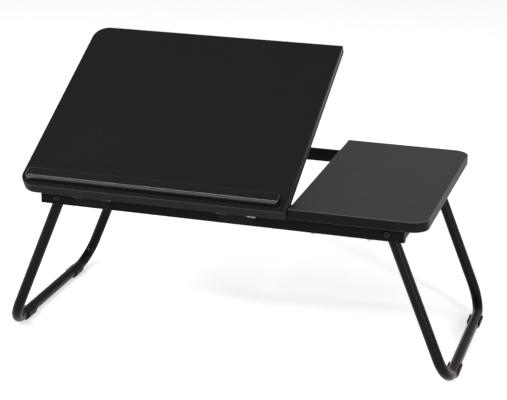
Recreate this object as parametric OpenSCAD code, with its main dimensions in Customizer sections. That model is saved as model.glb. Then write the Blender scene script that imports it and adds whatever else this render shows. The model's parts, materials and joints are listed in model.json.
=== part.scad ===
// Folding tray table: a tilting main board and a fixed side board on a tube frame with two folding U legs.
// X runs along the tray, Y from front to back, Z up. The origin is on the floor, midway between the four leg pivots.

/* [Tray] */
// Length of the whole tray, along X
tray_l = 600; // [520:1:720]
// Depth of both boards, along Y
tray_d = 356; // [300:1:430]
// Height of the side board's top face above the floor
tray_h = 254; // [215:1:310]
// Thickness of both boards
board_t = 15; // [12:0.5:18]
// Length of the fixed side board
side_l = 194.5; // [140:0.5:240]
// Gap between the two boards
board_gap = 2.2; // [1:0.1:5]
// Radius of the tray's four outer corners
corner_r = 24; // [5:1:40]
// How far the boards' front edges stand ahead of the front rail
front_overhang = 7; // [6:0.5:20]
// How far the boards' back edges stand behind the back rail
back_overhang = 10; // [2:0.5:30]

/* [Tilt] */
// Tilt of the main board as drawn, in degrees above level
tilt = 28; // [0:1:35]
// Steepest tilt, where the stay reaches the front end of its slots
tilt_max = 35; // [35:1:38]
// Gap between the level main board and the rails under it
rest_gap = 0.4; // [0.3:0.1:1]
// Distance from the racks' back ends to the main board's back edge
rack_back_in = 200.5; // [40:0.5:205]
// Diameter of the stay's wire
stay_wire_d = 6; // [5:0.5:7]
// Depth of the crossbar's path below the hinge axis
stay_drop = 6.2; // [5.5:0.1:7]

/* [Book ledge] */
// Distance from each end of the main board to the ledge
ledge_end_in = 11.4; // [4:0.05:80]
// Width of the ledge, up the slope
ledge_w = 18; // [14:0.5:24]
// Height of the ledge above the board
ledge_h = 12.5; // [9:0.5:20]
// Distance from the board's front edge to the ledge
ledge_inset = 8.4; // [4:0.1:14]
// Rounding of the ledge's upper edges
ledge_round = 3; // [1:0.5:4]

/* [Hinges] */
// Length of each butt hinge
hinge_l = 55; // [40:1:70]
// Outer radius of the hinge knuckles
knuckle_r = 2.5; // [2.3:0.1:3.5]
// Thickness of the hinge leaves
leaf_t = 1.2; // [0.8:0.1:1.3]
// Reach of the leaf under the board
leaf_w = 19; // [16:0.5:26]
// Height of the leaf on the front rail
frame_leaf_w = 14; // [12:0.5:15]
// Distance from the tray's left end to the middle of the left hinge
hinge_left_in = 111.5; // [60:0.5:150]
// Distance from the main board's split edge to the middle of the right hinge
hinge_right_in = 73.3; // [60:0.1:140]

/* [Frame] */
// Height of the rails
rail_h = 19; // [18:0.5:25]
// Width of the rails
rail_w = 10; // [8:0.5:14]
// Wall of the rail tubes
rail_wall = 1.2; // [1:0.1:1.6]
// Height of the cross rail under the split between the boards
cross_h = 15.4; // [14:0.1:16]
// Thickness of the head of each plastic rail plug
plug_head_t = 1.5; // [1:0.1:3]

/* [Legs] */
// Distance from the tray's ends to the leg pivots
pivot_in = 55; // [40:1:90]
// Outer diameter of the leg tube
tube_d = 16; // [14:0.1:20]
// Wall of the leg tube
tube_wall = 1.2; // [1:0.1:2]
// Centreline radius of the leg's two bends
bend_r = 40; // [30:1:60]
// Lean of the open legs from the vertical, in degrees
splay = 22.25; // [15:0.25:26]
// Gap between the top of the leg tube and the boards
leg_top_gap = 0.4; // [0.3:0.1:1]
// Diameter of the pivot bolts
bolt_d = 6; // [5:0.5:6]
// Thickness of the washers on the pivot bolts
washer_t = 1.2; // [1:0.1:2]

/* [Feet] */
// Length of each foot clip
foot_len = 28; // [16:1:40]
// Wall of the foot clip beside the tube
foot_wall = 2.45; // [1.8:0.05:4]
// Thickness of the foot clip under the tube
foot_t = 2; // [1.5:0.1:3]
// Distance from the end of the leg's bend to the foot clip
foot_in = 3; // [0:0.5:20]
// Height of the foot clip's ears above the middle of the tube
foot_ear = 3; // [0:0.5:5]

/* [Hidden] */
$fn = 64;

cut = 1;               // how far a cutter reaches past the face that it cuts
run_fit = 0.05;        // radial clearance of a turning fit
still_fit = 0.05;      // radial clearance of parts that stay still on each other
free_gap = 0.3;        // gap between parts that move past each other

// Levels and heights
rail_top = tray_h - board_t;
rail_low = rail_top - rail_h;
rail_y = (tray_d - front_overhang - back_overhang) / 2;
board_front = -rail_y - front_overhang;

// Leg pivots and feet
tube_r = tube_d / 2;
bolt_r = bolt_d / 2;
pivot_x = tray_l / 2 - pivot_in;
pivot_z = rail_top - tube_r - leg_top_gap;
foot_z = tube_r + foot_t;
leg_len = (pivot_z - foot_z) / cos(splay);
foot_x = pivot_x + leg_len * sin(splay);
leg_y = rail_y - rail_w - washer_t - free_gap - tube_r;
bush_len = 22;                         // reach of the nylon bush below the pivot
leg_end_r = tube_r - 0.2;              // radius of the leg's rounded upper end
foot_y = leg_y - bend_r - foot_in - foot_len / 2;

// The open leg leans against the lower inner edge of the end rail
end_rail_in = pivot_x + (tube_r + free_gap + (pivot_z - rail_low) * sin(splay)) / cos(splay);
steel_x = end_rail_in + rail_w;
cross_x = tray_l / 2 - side_l - board_gap / 2;

// Boards
main_l = tray_l - side_l - board_gap;
side_left = tray_l / 2 - side_l;

// Hinge axis of the main board, in front of the front rail's upper edge
hinge_y = -rail_y - free_gap - knuckle_r;
hinge_z = rail_top - knuckle_r;
board_lift = knuckle_r + rest_gap;     // hinge axis to the board's underside
board_lead = hinge_y - board_front;    // board's front edge to the hinge axis
board_back = tray_d - board_lead;      // hinge axis to the board's back edge
hinge_xs = [-tray_l / 2 + hinge_left_in, tray_l / 2 - side_l - board_gap - hinge_right_in];
pin_r = knuckle_r / 2;
pin_head_r = knuckle_r * 0.76;
pin_head_t = 0.8;
outer_knuckle = hinge_l / 4;           // each outer knuckle's share of the hinge
hinge_screw_r = 1.5;
hinge_screw_head_r = hinge_screw_r + leaf_t;
hinge_screw_len = 11;
hinge_screw_pitch = 20;
hinge_screw_y = leaf_w * 0.58;

// Ledge screws, from below
ledge_screw_r = 2;
ledge_screw_head_r = 4;
ledge_screw_grip = 8;                  // how far they reach into the ledge
ledge_screw_end = 20;                  // from the ledge's end to its outer screws
ledge_y = ledge_inset - board_lead;    // ledge's front face, measured from the hinge axis
ledge_l = main_l - 2 * ledge_end_in;
ledge_mid = -tray_l / 2 + main_l / 2;

// Side board screws, up through the rails
side_screw_r = 2;
side_screw_head_r = 3.6;
side_screw_head_t = 2.2;
side_screw_grip = 10;
side_screw_xs = [side_left + 34, pivot_x - 25];

// Stay. With its pivot as far from the hinge as its arm is long, it turns twice as far as the board does,
// and its crossbar keeps within a hair of one straight line under the board. The two offsets centre that line.
wire_r = stay_wire_d / 2;
tilt_mid = tilt_max / 2;
slot_z = -stay_drop * (1 + cos(tilt_mid)) / 2;
slot_r = wire_r + stay_drop * (1 - cos(tilt_mid)) / 2 + 0.35;
rack_margin = 6;                       // metal around the slot
rack_y1 = board_back - rack_back_in;
stay_len = (rack_y1 - slot_r - rack_margin - stay_drop * sin(tilt_mid)) / 2;
stay_y = hinge_y + stay_len + stay_drop * sin(tilt_mid);
stay_z = hinge_z - stay_drop * cos(tilt_mid);
stay_angle = 2 * tilt;
stay_bend = 7;                         // centreline radius of the wire's bends
stay_clear = 15;                       // rail face to the middle of the arm beside it
stay_tail = 7;                         // how far each end reaches into its rail
stay_left = -end_rail_in + stay_clear;
stay_right = cross_x - rail_w / 2 - stay_clear;

// Racks: the slot follows the crossbar's path under the board
function path_y(a) =
    (2 * stay_len + stay_drop * sin(tilt_mid)) * cos(a) - stay_drop * cos(tilt_mid) * sin(a);
rack_t = 2;
rack_flange_t = 1.6;
rack_flange_w = 13;
rack_low = slot_z - slot_r - 2.2;
rack_in = 90;                          // tray's left end to the left rack
rack_xs = [-tray_l / 2 + rack_in, side_left - 55];
notch_angles = [18, 28, tilt_max];
notch_rise = 2.2;
rack_y0 = path_y(tilt_max) - slot_r - rack_margin;
rack_screw_r = 1.5;
rack_screw_head_r = 3;
rack_screw_head_t = 1.7;
rack_screw_len = 10;
rack_screw_in = 9;

// Pivot bolts
bolt_head_r = bolt_r + 2.3;
bolt_head_h = 3.5;
nut_af = bolt_d + 4;                   // nut across its flats
nut_h = 5.2;
washer_r = bolt_r + 4.5;
bolt_end = 1.5;                        // bolt beyond its nut

/* Placing helpers */

// Puts its children in the main board's frame: hinge axis at the origin, Y up the slope, Z out of the board
module on_board() {
    translate([0, hinge_y, hinge_z]) rotate([tilt, 0, 0]) children();
}

// Puts its children in the stay's frame: pivot at the origin, Y along the arms
module on_stay() {
    translate([0, stay_y, stay_z]) rotate([stay_angle, 0, 0]) children();
}

// Puts its children in a leg's frame: pivot at the origin, the open leg along -Z. side is -1 or 1.
module on_leg(side) {
    translate([side * pivot_x, 0, pivot_z]) rotate([0, -side * splay, 0]) children();
}

// Draws its children at the front and, mirrored, at the back
module front_and_back() {
    children();
    mirror([0, 1, 0]) children();
}

// Repeats its children at the four leg pivots, with Y pointing inwards from the rail's outer face
module at_pivots() {
    for (side = [-1, 1])
        front_and_back() translate([side * pivot_x, -rail_y, pivot_z]) children();
}

// Round bar along X from x0 to x1
module bar_x(r, x0, x1) {
    translate([x0, 0, 0]) rotate([0, 90, 0]) cylinder(r = r, h = x1 - x0);
}

// Round bar along Y from y0 to y1
module bar_y(r, y0, y1) {
    translate([0, y0, 0]) rotate([-90, 0, 0]) cylinder(r = r, h = y1 - y0);
}

// Quarter of a ring of bar in the XY plane: centre at the origin, from +X round to +Y
module elbow(r, ring_r) {
    rotate_extrude(angle = 90) translate([ring_r, 0]) circle(r = r);
}

/* Frame */

// Hollow rectangular tube along X, its outer corner at the origin
module rail_x(len, h) {
    difference() {
        cube([len, rail_w, h]);
        translate([-cut, rail_wall, rail_wall]) cube([len + 2 * cut, rail_w - 2 * rail_wall, h - 2 * rail_wall]);
    }
}

// Hollow rectangular tube along Y, from y0 to y1, centred on X, its top at the boards' undersides
module rail_along_y(y0, y1, h) {
    difference() {
        translate([-rail_w / 2, y0, rail_top - h]) cube([rail_w, y1 - y0, h]);
        translate([-rail_w / 2 + rail_wall, y0 - cut, rail_top - h + rail_wall])
            cube([rail_w - 2 * rail_wall, y1 - y0 + 2 * cut, h - 2 * rail_wall]);
    }
}

// Front rail, drilled for the two pivot bolts and the side board's screws
module long_rail() {
    color([0.07, 0.07, 0.075])
    difference() {
        translate([-steel_x, -rail_y, rail_low]) rail_x(2 * steel_x, rail_h);
        for (side = [-1, 1])
            translate([side * pivot_x, 0, pivot_z])
                bar_y(bolt_r + still_fit, -rail_y - cut, -rail_y + rail_w + cut);
        for (x = side_screw_xs)
            translate([x, -rail_y + rail_w / 2, rail_low - cut])
                cylinder(r = side_screw_r + still_fit, h = rail_h + 2 * cut);
    }
}

module front_rail() {
    long_rail();
}

module back_rail() {
    mirror([0, 1, 0]) long_rail();
}

// End rail at the left, with a hole for the stay when holed is true
module end_rail(holed) {
    color([0.07, 0.07, 0.075])
    difference() {
        translate([-end_rail_in - rail_w / 2, 0, 0]) rail_along_y(-rail_y + rail_w, rail_y - rail_w, rail_h);
        if (holed)
            translate([0, stay_y, stay_z])
                bar_x(wire_r + run_fit, -end_rail_in - rail_wall - cut, -end_rail_in + cut);
    }
}

module left_end_rail() {
    end_rail(true);
}

module right_end_rail() {
    mirror([1, 0, 0]) end_rail(false);
}

// Rail under the split, which also carries the stay's right end
module cross_rail() {
    color([0.07, 0.07, 0.075])
    difference() {
        translate([cross_x, 0, 0]) rail_along_y(-rail_y + rail_w, rail_y - rail_w, cross_h);
        translate([0, stay_y, stay_z])
            bar_x(wire_r + run_fit, cross_x - rail_w / 2 - cut, cross_x - rail_w / 2 + rail_wall + cut);
    }
}

// Plastic plugs in the four open ends of the long rails
module rail_plugs() {
    tongue = 9;
    inner_w = rail_w - 2 * rail_wall - 2 * still_fit;
    inner_h = rail_h - 2 * rail_wall - 2 * still_fit;
    color([0.06, 0.06, 0.06])
    for (side = [0, 1])
        mirror([side, 0, 0])
            front_and_back()
                translate([steel_x, -rail_y, rail_low]) {
                    cube([plug_head_t, rail_w, rail_h]);
                    translate([-tongue, (rail_w - inner_w) / 2, (rail_h - inner_h) / 2])
                        cube([tongue + plug_head_t / 2, inner_w, inner_h]);
                }
}

/* Boards */

// Outline of a board with its two left corners rounded, from the origin to [l, tray_d]
module left_rounded(l) {
    translate([corner_r, 0]) square([l - corner_r, tray_d]);
    translate([0, corner_r]) square([corner_r + cut, tray_d - 2 * corner_r]);
    for (y = [corner_r, tray_d - corner_r])
        translate([corner_r, y]) circle(r = corner_r, $fn = 96);
}

module side_board() {
    color([0.26, 0.25, 0.245])
    difference() {
        translate([tray_l / 2, board_front, rail_top])
            mirror([1, 0, 0]) linear_extrude(board_t) left_rounded(side_l);
        front_and_back()
            for (x = side_screw_xs)
                translate([x, -rail_y + rail_w / 2, rail_top - cut])
                    cylinder(r = side_screw_r + still_fit, h = side_screw_grip + cut + free_gap);
    }
}

// Pan head screws up through the long rails into the side board
module side_board_screws() {
    color([0.55, 0.55, 0.56])
    front_and_back()
        for (x = side_screw_xs)
            translate([x, -rail_y + rail_w / 2, rail_low]) {
                cylinder(r = side_screw_r, h = rail_h + side_screw_grip);
                translate([0, 0, -side_screw_head_t]) cylinder(r = side_screw_head_r, h = side_screw_head_t);
            }
}

// Main board, let in for the two hinge leaves and drilled for its screws
module main_board() {
    color([0.13, 0.13, 0.14])
    on_board()
    difference() {
        translate([-tray_l / 2, -board_lead, board_lift]) linear_extrude(board_t) left_rounded(main_l);
        for (x = hinge_xs) {
            translate([x - hinge_l / 2 - free_gap, -free_gap, board_lift - cut])
                cube([hinge_l + 2 * free_gap, leaf_w + 2 * free_gap, leaf_t + cut]);
            for (i = [-1, 0, 1])
                translate([x + i * hinge_screw_pitch, hinge_screw_y, board_lift])
                    cylinder(r = hinge_screw_r + still_fit, h = hinge_screw_len + free_gap);
        }
        at_ledge_screws() {
            translate([0, 0, -cut]) cylinder(r = ledge_screw_r + still_fit, h = board_t + 2 * cut);
            countersink(ledge_screw_r, ledge_screw_head_r, still_fit);
        }
        at_rack_screws()
            cylinder(r = rack_screw_r + still_fit, h = rack_screw_len + free_gap);
    }
}

/* Book ledge */

// Repeats its children at the ledge's screws, at the board's underside
module at_ledge_screws() {
    reach = ledge_l / 2 - ledge_screw_end;
    for (x = [ledge_mid - reach, ledge_mid, ledge_mid + reach])
        translate([x, ledge_y + ledge_w / 2, board_lift]) children();
}

// Cone of a countersunk head that ends flush with the face at Z = 0
module countersink(shank_r, head_r, grow) {
    translate([0, 0, -grow])
        cylinder(r1 = head_r + 2 * grow, r2 = shank_r + grow, h = head_r - shank_r + grow);
}

// Section of the ledge: Y up the slope, Z out of the board, both upper edges rounded
module ledge_section() {
    square([ledge_w, ledge_h - ledge_round]);
    translate([ledge_round, 0]) square([ledge_w - 2 * ledge_round, ledge_h]);
    for (y = [ledge_round, ledge_w - ledge_round])
        translate([y, ledge_h - ledge_round]) circle(r = ledge_round, $fn = 48);
}

module book_ledge() {
    color([0.05, 0.05, 0.055])
    on_board()
    difference() {
        translate([ledge_mid - ledge_l / 2, ledge_y, board_lift + board_t])
            rotate([90, 0, 90]) linear_extrude(ledge_l) ledge_section();
        at_ledge_screws()
            cylinder(r = ledge_screw_r + still_fit, h = board_t + ledge_screw_grip + free_gap);
    }
}

module ledge_screws() {
    color([0.55, 0.55, 0.56])
    on_board()
        at_ledge_screws() {
            cylinder(r = ledge_screw_r, h = board_t + ledge_screw_grip);
            countersink(ledge_screw_r, ledge_screw_head_r, 0);
        }
}

/* Hinges */

// One knuckle of a hinge about X, with its bore, between two stations measured from the hinge's middle
module knuckle(x0, x1) {
    difference() {
        bar_x(knuckle_r, x0, x1);
        bar_x(pin_r + run_fit, x0 - cut, x1 + cut);
    }
}

// Leaf under the board with the two outer knuckles, drawn about the hinge axis
module board_leaf(x) {
    inner = hinge_l / 2 - outer_knuckle;
    color([0.45, 0.44, 0.44])
    on_board()
    translate([x, 0, 0])
    difference() {
        union() {
            for (side = [0, 1])
                mirror([side, 0, 0]) {
                    bar_x(knuckle_r, inner, hinge_l / 2);
                    translate([inner, 0, 0]) cube([outer_knuckle, knuckle_r - 0.1, board_lift + leaf_t / 2]);
                }
            translate([-hinge_l / 2, 0, board_lift]) cube([hinge_l, leaf_w, leaf_t]);
        }
        bar_x(pin_r + run_fit, -hinge_l / 2 - cut, hinge_l / 2 + cut);
        for (i = [-1, 0, 1])
            translate([i * hinge_screw_pitch, hinge_screw_y, board_lift]) {
                translate([0, 0, -cut]) cylinder(r = hinge_screw_r + still_fit, h = leaf_t + 2 * cut);
                countersink(hinge_screw_r, hinge_screw_head_r, still_fit);
            }
    }
}

// Leaf welded on the front rail's face, with the middle knuckle
module frame_leaf(x) {
    inner = hinge_l / 2 - outer_knuckle - free_gap;
    back = free_gap + knuckle_r;
    color([0.12, 0.12, 0.12])
    translate([x, hinge_y, hinge_z])
    difference() {
        union() {
            bar_x(knuckle_r, -inner, inner);
            translate([-inner, back - leaf_t, -frame_leaf_w]) cube([2 * inner, leaf_t, frame_leaf_w]);
            translate([-hinge_l / 2, back - leaf_t, -frame_leaf_w])
                cube([hinge_l, leaf_t, frame_leaf_w - knuckle_r - free_gap]);
        }
        bar_x(pin_r + run_fit, -inner - cut, inner + cut);
    }
}

module left_hinge_board_leaf() {
    board_leaf(hinge_xs[0]);
}

module right_hinge_board_leaf() {
    board_leaf(hinge_xs[1]);
}

module left_hinge_frame_leaf() {
    frame_leaf(hinge_xs[0]);
}

module right_hinge_frame_leaf() {
    frame_leaf(hinge_xs[1]);
}

// Both hinge pins, with a small head at each end
module hinge_pins() {
    color([0.7, 0.7, 0.7])
    for (x = hinge_xs)
        translate([x, hinge_y, hinge_z]) {
            bar_x(pin_r, -hinge_l / 2 - free_gap - pin_head_t / 2, hinge_l / 2 + free_gap + pin_head_t / 2);
            for (side = [0, 1])
                mirror([side, 0, 0])
                    bar_x(pin_head_r, hinge_l / 2 + free_gap, hinge_l / 2 + free_gap + pin_head_t);
        }
}

module hinge_screws() {
    color([0.55, 0.55, 0.56])
    on_board()
    for (x = hinge_xs)
        for (i = [-1, 0, 1])
            translate([x + i * hinge_screw_pitch, hinge_screw_y, board_lift]) {
                cylinder(r = hinge_screw_r, h = hinge_screw_len);
                countersink(hinge_screw_r, hinge_screw_head_r, 0);
            }
}

/* Tilt support */

// Rack under the board: an angle whose web has a slot with notches for the stay's crossbar.
// side is the way its flange points, -1 or 1.
module tilt_rack(x, side) {
    len = rack_y1 - rack_y0;
    color([0.5, 0.5, 0.51])
    on_board()
    translate([x, 0, 0])
    difference() {
        union() {
            translate([-rack_t / 2, rack_y0, rack_low]) cube([rack_t, len, board_lift - rack_low]);
            translate([side > 0 ? -rack_t / 2 : rack_t / 2 - rack_flange_w, rack_y0, board_lift - rack_flange_t])
                cube([rack_flange_w, len, rack_flange_t]);
        }
        translate([0, path_y(tilt_max), slot_z]) bar_x(slot_r, -rack_t, rack_t);
        translate([0, path_y(0), slot_z]) bar_x(slot_r, -rack_t, rack_t);
        translate([-rack_t, path_y(tilt_max), slot_z - slot_r])
            cube([2 * rack_t, path_y(0) - path_y(tilt_max), 2 * slot_r]);
        for (a = notch_angles)
            translate([0, path_y(a), slot_z + notch_rise]) bar_x(wire_r + 0.2, -rack_t, rack_t);
        for (y = [rack_y0 + rack_screw_in, rack_y1 - rack_screw_in])
            translate([side * rack_flange_w / 2, y, board_lift - rack_flange_t - cut])
                cylinder(r = rack_screw_r + still_fit, h = rack_flange_t + 2 * cut);
    }
}

module left_tilt_rack() {
    tilt_rack(rack_xs[0], 1);
}

module right_tilt_rack() {
    tilt_rack(rack_xs[1], -1);
}

// Repeats its children at the racks' screws, at the board's underside
module at_rack_screws() {
    for (side = [-1, 1])
        for (y = [rack_y0 + rack_screw_in, rack_y1 - rack_screw_in])
            translate([(side > 0 ? rack_xs[0] : rack_xs[1]) + side * rack_flange_w / 2, y, board_lift])
                children();
}

module rack_screws() {
    color([0.55, 0.55, 0.56])
    on_board()
        at_rack_screws()
            translate([0, 0, -rack_flange_t]) {
                cylinder(r = rack_screw_r, h = rack_flange_t + rack_screw_len);
                translate([0, 0, -rack_screw_head_t])
                    cylinder(r = rack_screw_head_r, h = rack_screw_head_t);
            }
}

// One side of the stay: its end in the rail, its arm and the bend to the crossbar. The arm stands at X = 0
// and the crossbar leads off to +X.
module stay_side() {
    bar_x(wire_r, -stay_clear - stay_tail, -stay_bend);
    translate([-stay_bend, stay_bend, 0]) rotate([0, 0, -90]) elbow(wire_r, stay_bend);
    bar_y(wire_r, stay_bend, stay_len - stay_bend);
    translate([stay_bend, stay_len - stay_bend, 0]) rotate([0, 0, 90]) elbow(wire_r, stay_bend);
}

// Wire stay that props the main board up
module tilt_stay() {
    color([0.6, 0.6, 0.62])
    on_stay() {
        translate([stay_left, 0, 0]) stay_side();
        translate([stay_right, 0, 0]) mirror([1, 0, 0]) stay_side();
        translate([0, stay_len, 0]) bar_x(wire_r, stay_left + stay_bend, stay_right - stay_bend);
    }
}

/* Legs */

// Round U of bar radius r in the leg's frame. The two uprights run up to z = top.
module leg_u(r, top) {
    front_and_back() {
        translate([0, -leg_y, -leg_len + bend_r]) cylinder(r = r, h = leg_len - bend_r + top);
        translate([0, -leg_y + bend_r, -leg_len + bend_r])
            rotate([0, 90, 0]) rotate([0, 0, -90]) elbow(r, bend_r);
    }
    translate([0, 0, -leg_len]) bar_y(r, -leg_y + bend_r, leg_y - bend_r);
}

// Everything below the pivot, and above it only what lies within radius r of the pivot axis
module rounded_end_zone(r) {
    big = leg_len + 4 * tube_d;
    translate([-tube_d, -leg_y - tube_d, -big]) cube([2 * tube_d, 2 * leg_y + 2 * tube_d, big]);
    bar_y(r, -leg_y - tube_d, leg_y + tube_d);
}

// Bent tube leg, open at its two rounded upper ends
module leg(side) {
    color([0.08, 0.08, 0.085])
    on_leg(side)
    difference() {
        intersection() {
            leg_u(tube_r, tube_r);
            rounded_end_zone(leg_end_r);
        }
        leg_u(tube_r - tube_wall, tube_r + cut);
        bar_y(bolt_r + run_fit, -leg_y - tube_d, leg_y + tube_d);
    }
}

// Nylon bushes inside the leg's upper ends, turning on the pivot bolts
module leg_bushes(side) {
    color([0.05, 0.05, 0.05])
    on_leg(side)
    difference() {
        intersection() {
            front_and_back()
                translate([0, -leg_y, -bush_len])
                    cylinder(r = tube_r - tube_wall - still_fit, h = bush_len + tube_r);
            rounded_end_zone(leg_end_r - free_gap);
        }
        bar_y(bolt_r + run_fit, -leg_y - tube_d, leg_y + tube_d);
    }
}

// Plastic clip under the leg's foot bar, with a flat sole on the floor. yside is -1 at the front, 1 at the back.
module foot(side, yside) {
    outer = tube_r + still_fit + foot_wall;
    color([0.05, 0.05, 0.05])
    translate([side * foot_x, yside * foot_y, foot_z])
    intersection() {
        difference() {
            bar_y(outer, -foot_len / 2, foot_len / 2);
            bar_y(tube_r + still_fit, -foot_len / 2 - cut, foot_len / 2 + cut);
        }
        translate([-outer, -foot_len / 2, -foot_z]) cube([2 * outer, foot_len, foot_z + foot_ear]);
    }
}

module left_leg() {
    leg(-1);
}

module right_leg() {
    leg(1);
}

module left_leg_bushes() {
    leg_bushes(-1);
}

module right_leg_bushes() {
    leg_bushes(1);
}

module left_front_foot() {
    foot(-1, -1);
}

module left_back_foot() {
    foot(-1, 1);
}

module right_front_foot() {
    foot(1, -1);
}

module right_back_foot() {
    foot(1, 1);
}

/* Pivot hardware, each drawn along Y from the rail's outer face */

leg_side = rail_w + washer_t + free_gap + tube_d + free_gap;   // rail's outer face to the inner washer
bolt_len = leg_side + washer_t + nut_h + bolt_end;

// Domed bolts through the rail and the leg
module pivot_bolts() {
    dome_r = (bolt_head_r * bolt_head_r + bolt_head_h * bolt_head_h) / (2 * bolt_head_h);
    color([0.05, 0.05, 0.05])
    at_pivots() {
        bar_y(bolt_r, -bolt_head_h / 2, bolt_len);
        intersection() {
            translate([0, dome_r - bolt_head_h, 0]) sphere(r = dome_r);
            bar_y(bolt_head_r, -bolt_head_h, 0);
        }
    }
}

// Washers between the rail and the leg
module pivot_spacers() {
    color([0.6, 0.6, 0.62])
    at_pivots()
        ring_y(washer_r, rail_w, rail_w + washer_t);
}

// Washers under the nuts
module pivot_washers() {
    color([0.6, 0.6, 0.62])
    at_pivots()
        ring_y(washer_r, leg_side, leg_side + washer_t);
}

// Flat ring on the pivot bolt from y0 to y1
module ring_y(r, y0, y1) {
    difference() {
        bar_y(r, y0, y1);
        bar_y(bolt_r + still_fit, y0 - cut, y1 + cut);
    }
}

module pivot_nuts() {
    color([0.6, 0.6, 0.62])
    at_pivots()
        difference() {
            translate([0, leg_side + washer_t, 0])
                rotate([-90, 0, 0]) cylinder(r = nut_af / sqrt(3), h = nut_h, $fn = 6);
            bar_y(bolt_r + still_fit, leg_side, leg_side + washer_t + nut_h + cut);
        }
}

front_rail();
back_rail();
left_end_rail();
right_end_rail();
cross_rail();
rail_plugs();
side_board();
side_board_screws();
left_hinge_frame_leaf();
right_hinge_frame_leaf();
hinge_pins();
pivot_bolts();
pivot_spacers();
pivot_washers();
pivot_nuts();
main_board();
book_ledge();
ledge_screws();
left_hinge_board_leaf();
right_hinge_board_leaf();
hinge_screws();
left_tilt_rack();
right_tilt_rack();
rack_screws();
tilt_stay();
left_leg();
left_leg_bushes();
left_front_foot();
left_back_foot();
right_leg();
right_leg_bushes();
right_front_foot();
right_back_foot();
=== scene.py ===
import json
import logging
import math
from dataclasses import dataclass, field
from enum import Enum
from typing import Iterable, Optional, Sequence, Union

import bmesh
import bpy
from bmesh.types import BMEdge, BMFace, BMVert
from mathutils import Matrix, Vector


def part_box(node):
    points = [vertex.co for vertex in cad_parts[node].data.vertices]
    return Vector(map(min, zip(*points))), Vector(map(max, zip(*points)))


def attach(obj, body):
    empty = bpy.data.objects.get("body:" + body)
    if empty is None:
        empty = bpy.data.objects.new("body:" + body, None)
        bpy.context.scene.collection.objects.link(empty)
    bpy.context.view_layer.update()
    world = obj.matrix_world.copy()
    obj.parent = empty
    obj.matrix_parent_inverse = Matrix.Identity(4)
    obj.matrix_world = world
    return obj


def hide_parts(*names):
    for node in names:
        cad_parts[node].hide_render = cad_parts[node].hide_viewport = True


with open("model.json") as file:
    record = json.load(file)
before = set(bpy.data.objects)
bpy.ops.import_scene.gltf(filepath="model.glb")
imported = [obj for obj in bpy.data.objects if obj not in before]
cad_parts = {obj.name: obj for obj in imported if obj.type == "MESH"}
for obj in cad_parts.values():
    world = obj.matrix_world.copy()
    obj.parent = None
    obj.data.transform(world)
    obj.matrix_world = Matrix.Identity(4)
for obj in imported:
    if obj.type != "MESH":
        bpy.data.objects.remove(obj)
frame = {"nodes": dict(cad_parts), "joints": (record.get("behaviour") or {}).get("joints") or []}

log = logging.getLogger("tray_table")
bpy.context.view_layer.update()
MM = 0.001

Number = Union[float, "Field"]
Colour = tuple[float, float, float]


# Shader arithmetic


class Field:
    """A value that varies over a surface, on which Python arithmetic adds Math nodes."""

    def __init__(self, graph: "Graph", socket: bpy.types.NodeSocket) -> None:
        """Wraps one output socket of a material's node tree."""
        self.graph = graph
        self.socket = socket

    def math(self, operation: str, *terms: Number) -> "Field":
        """Adds one Math node.

        Args:
            operation: the Math node's operation.
            terms: the node's inputs in order, as numbers or fields.

        Returns:
            The node's result.
        """
        node = self.graph.node("ShaderNodeMath", {"operation": operation}, dict(enumerate(terms)))
        return Field(self.graph, node.outputs[0])

    def __add__(self, other: Number) -> "Field":
        """Returns self + other."""
        return self.math("ADD", self, other)

    def __radd__(self, other: Number) -> "Field":
        """Returns other + self."""
        return self.math("ADD", other, self)

    def __sub__(self, other: Number) -> "Field":
        """Returns self - other."""
        return self.math("SUBTRACT", self, other)

    def __rsub__(self, other: Number) -> "Field":
        """Returns other - self."""
        return self.math("SUBTRACT", other, self)

    def __mul__(self, other: Number) -> "Field":
        """Returns self * other."""
        return self.math("MULTIPLY", self, other)

    def __rmul__(self, other: Number) -> "Field":
        """Returns other * self."""
        return self.math("MULTIPLY", other, self)

    def rise(self, low: float, high: float) -> "Field":
        """Returns a smooth step from 0 at low to 1 at high, which may be the smaller of the two."""
        node = self.graph.node(
            "ShaderNodeMapRange",
            {"interpolation_type": "SMOOTHSTEP"},
            {"Value": self, "From Min": low, "From Max": high},
        )
        return Field(self.graph, node.outputs[0])


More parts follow.
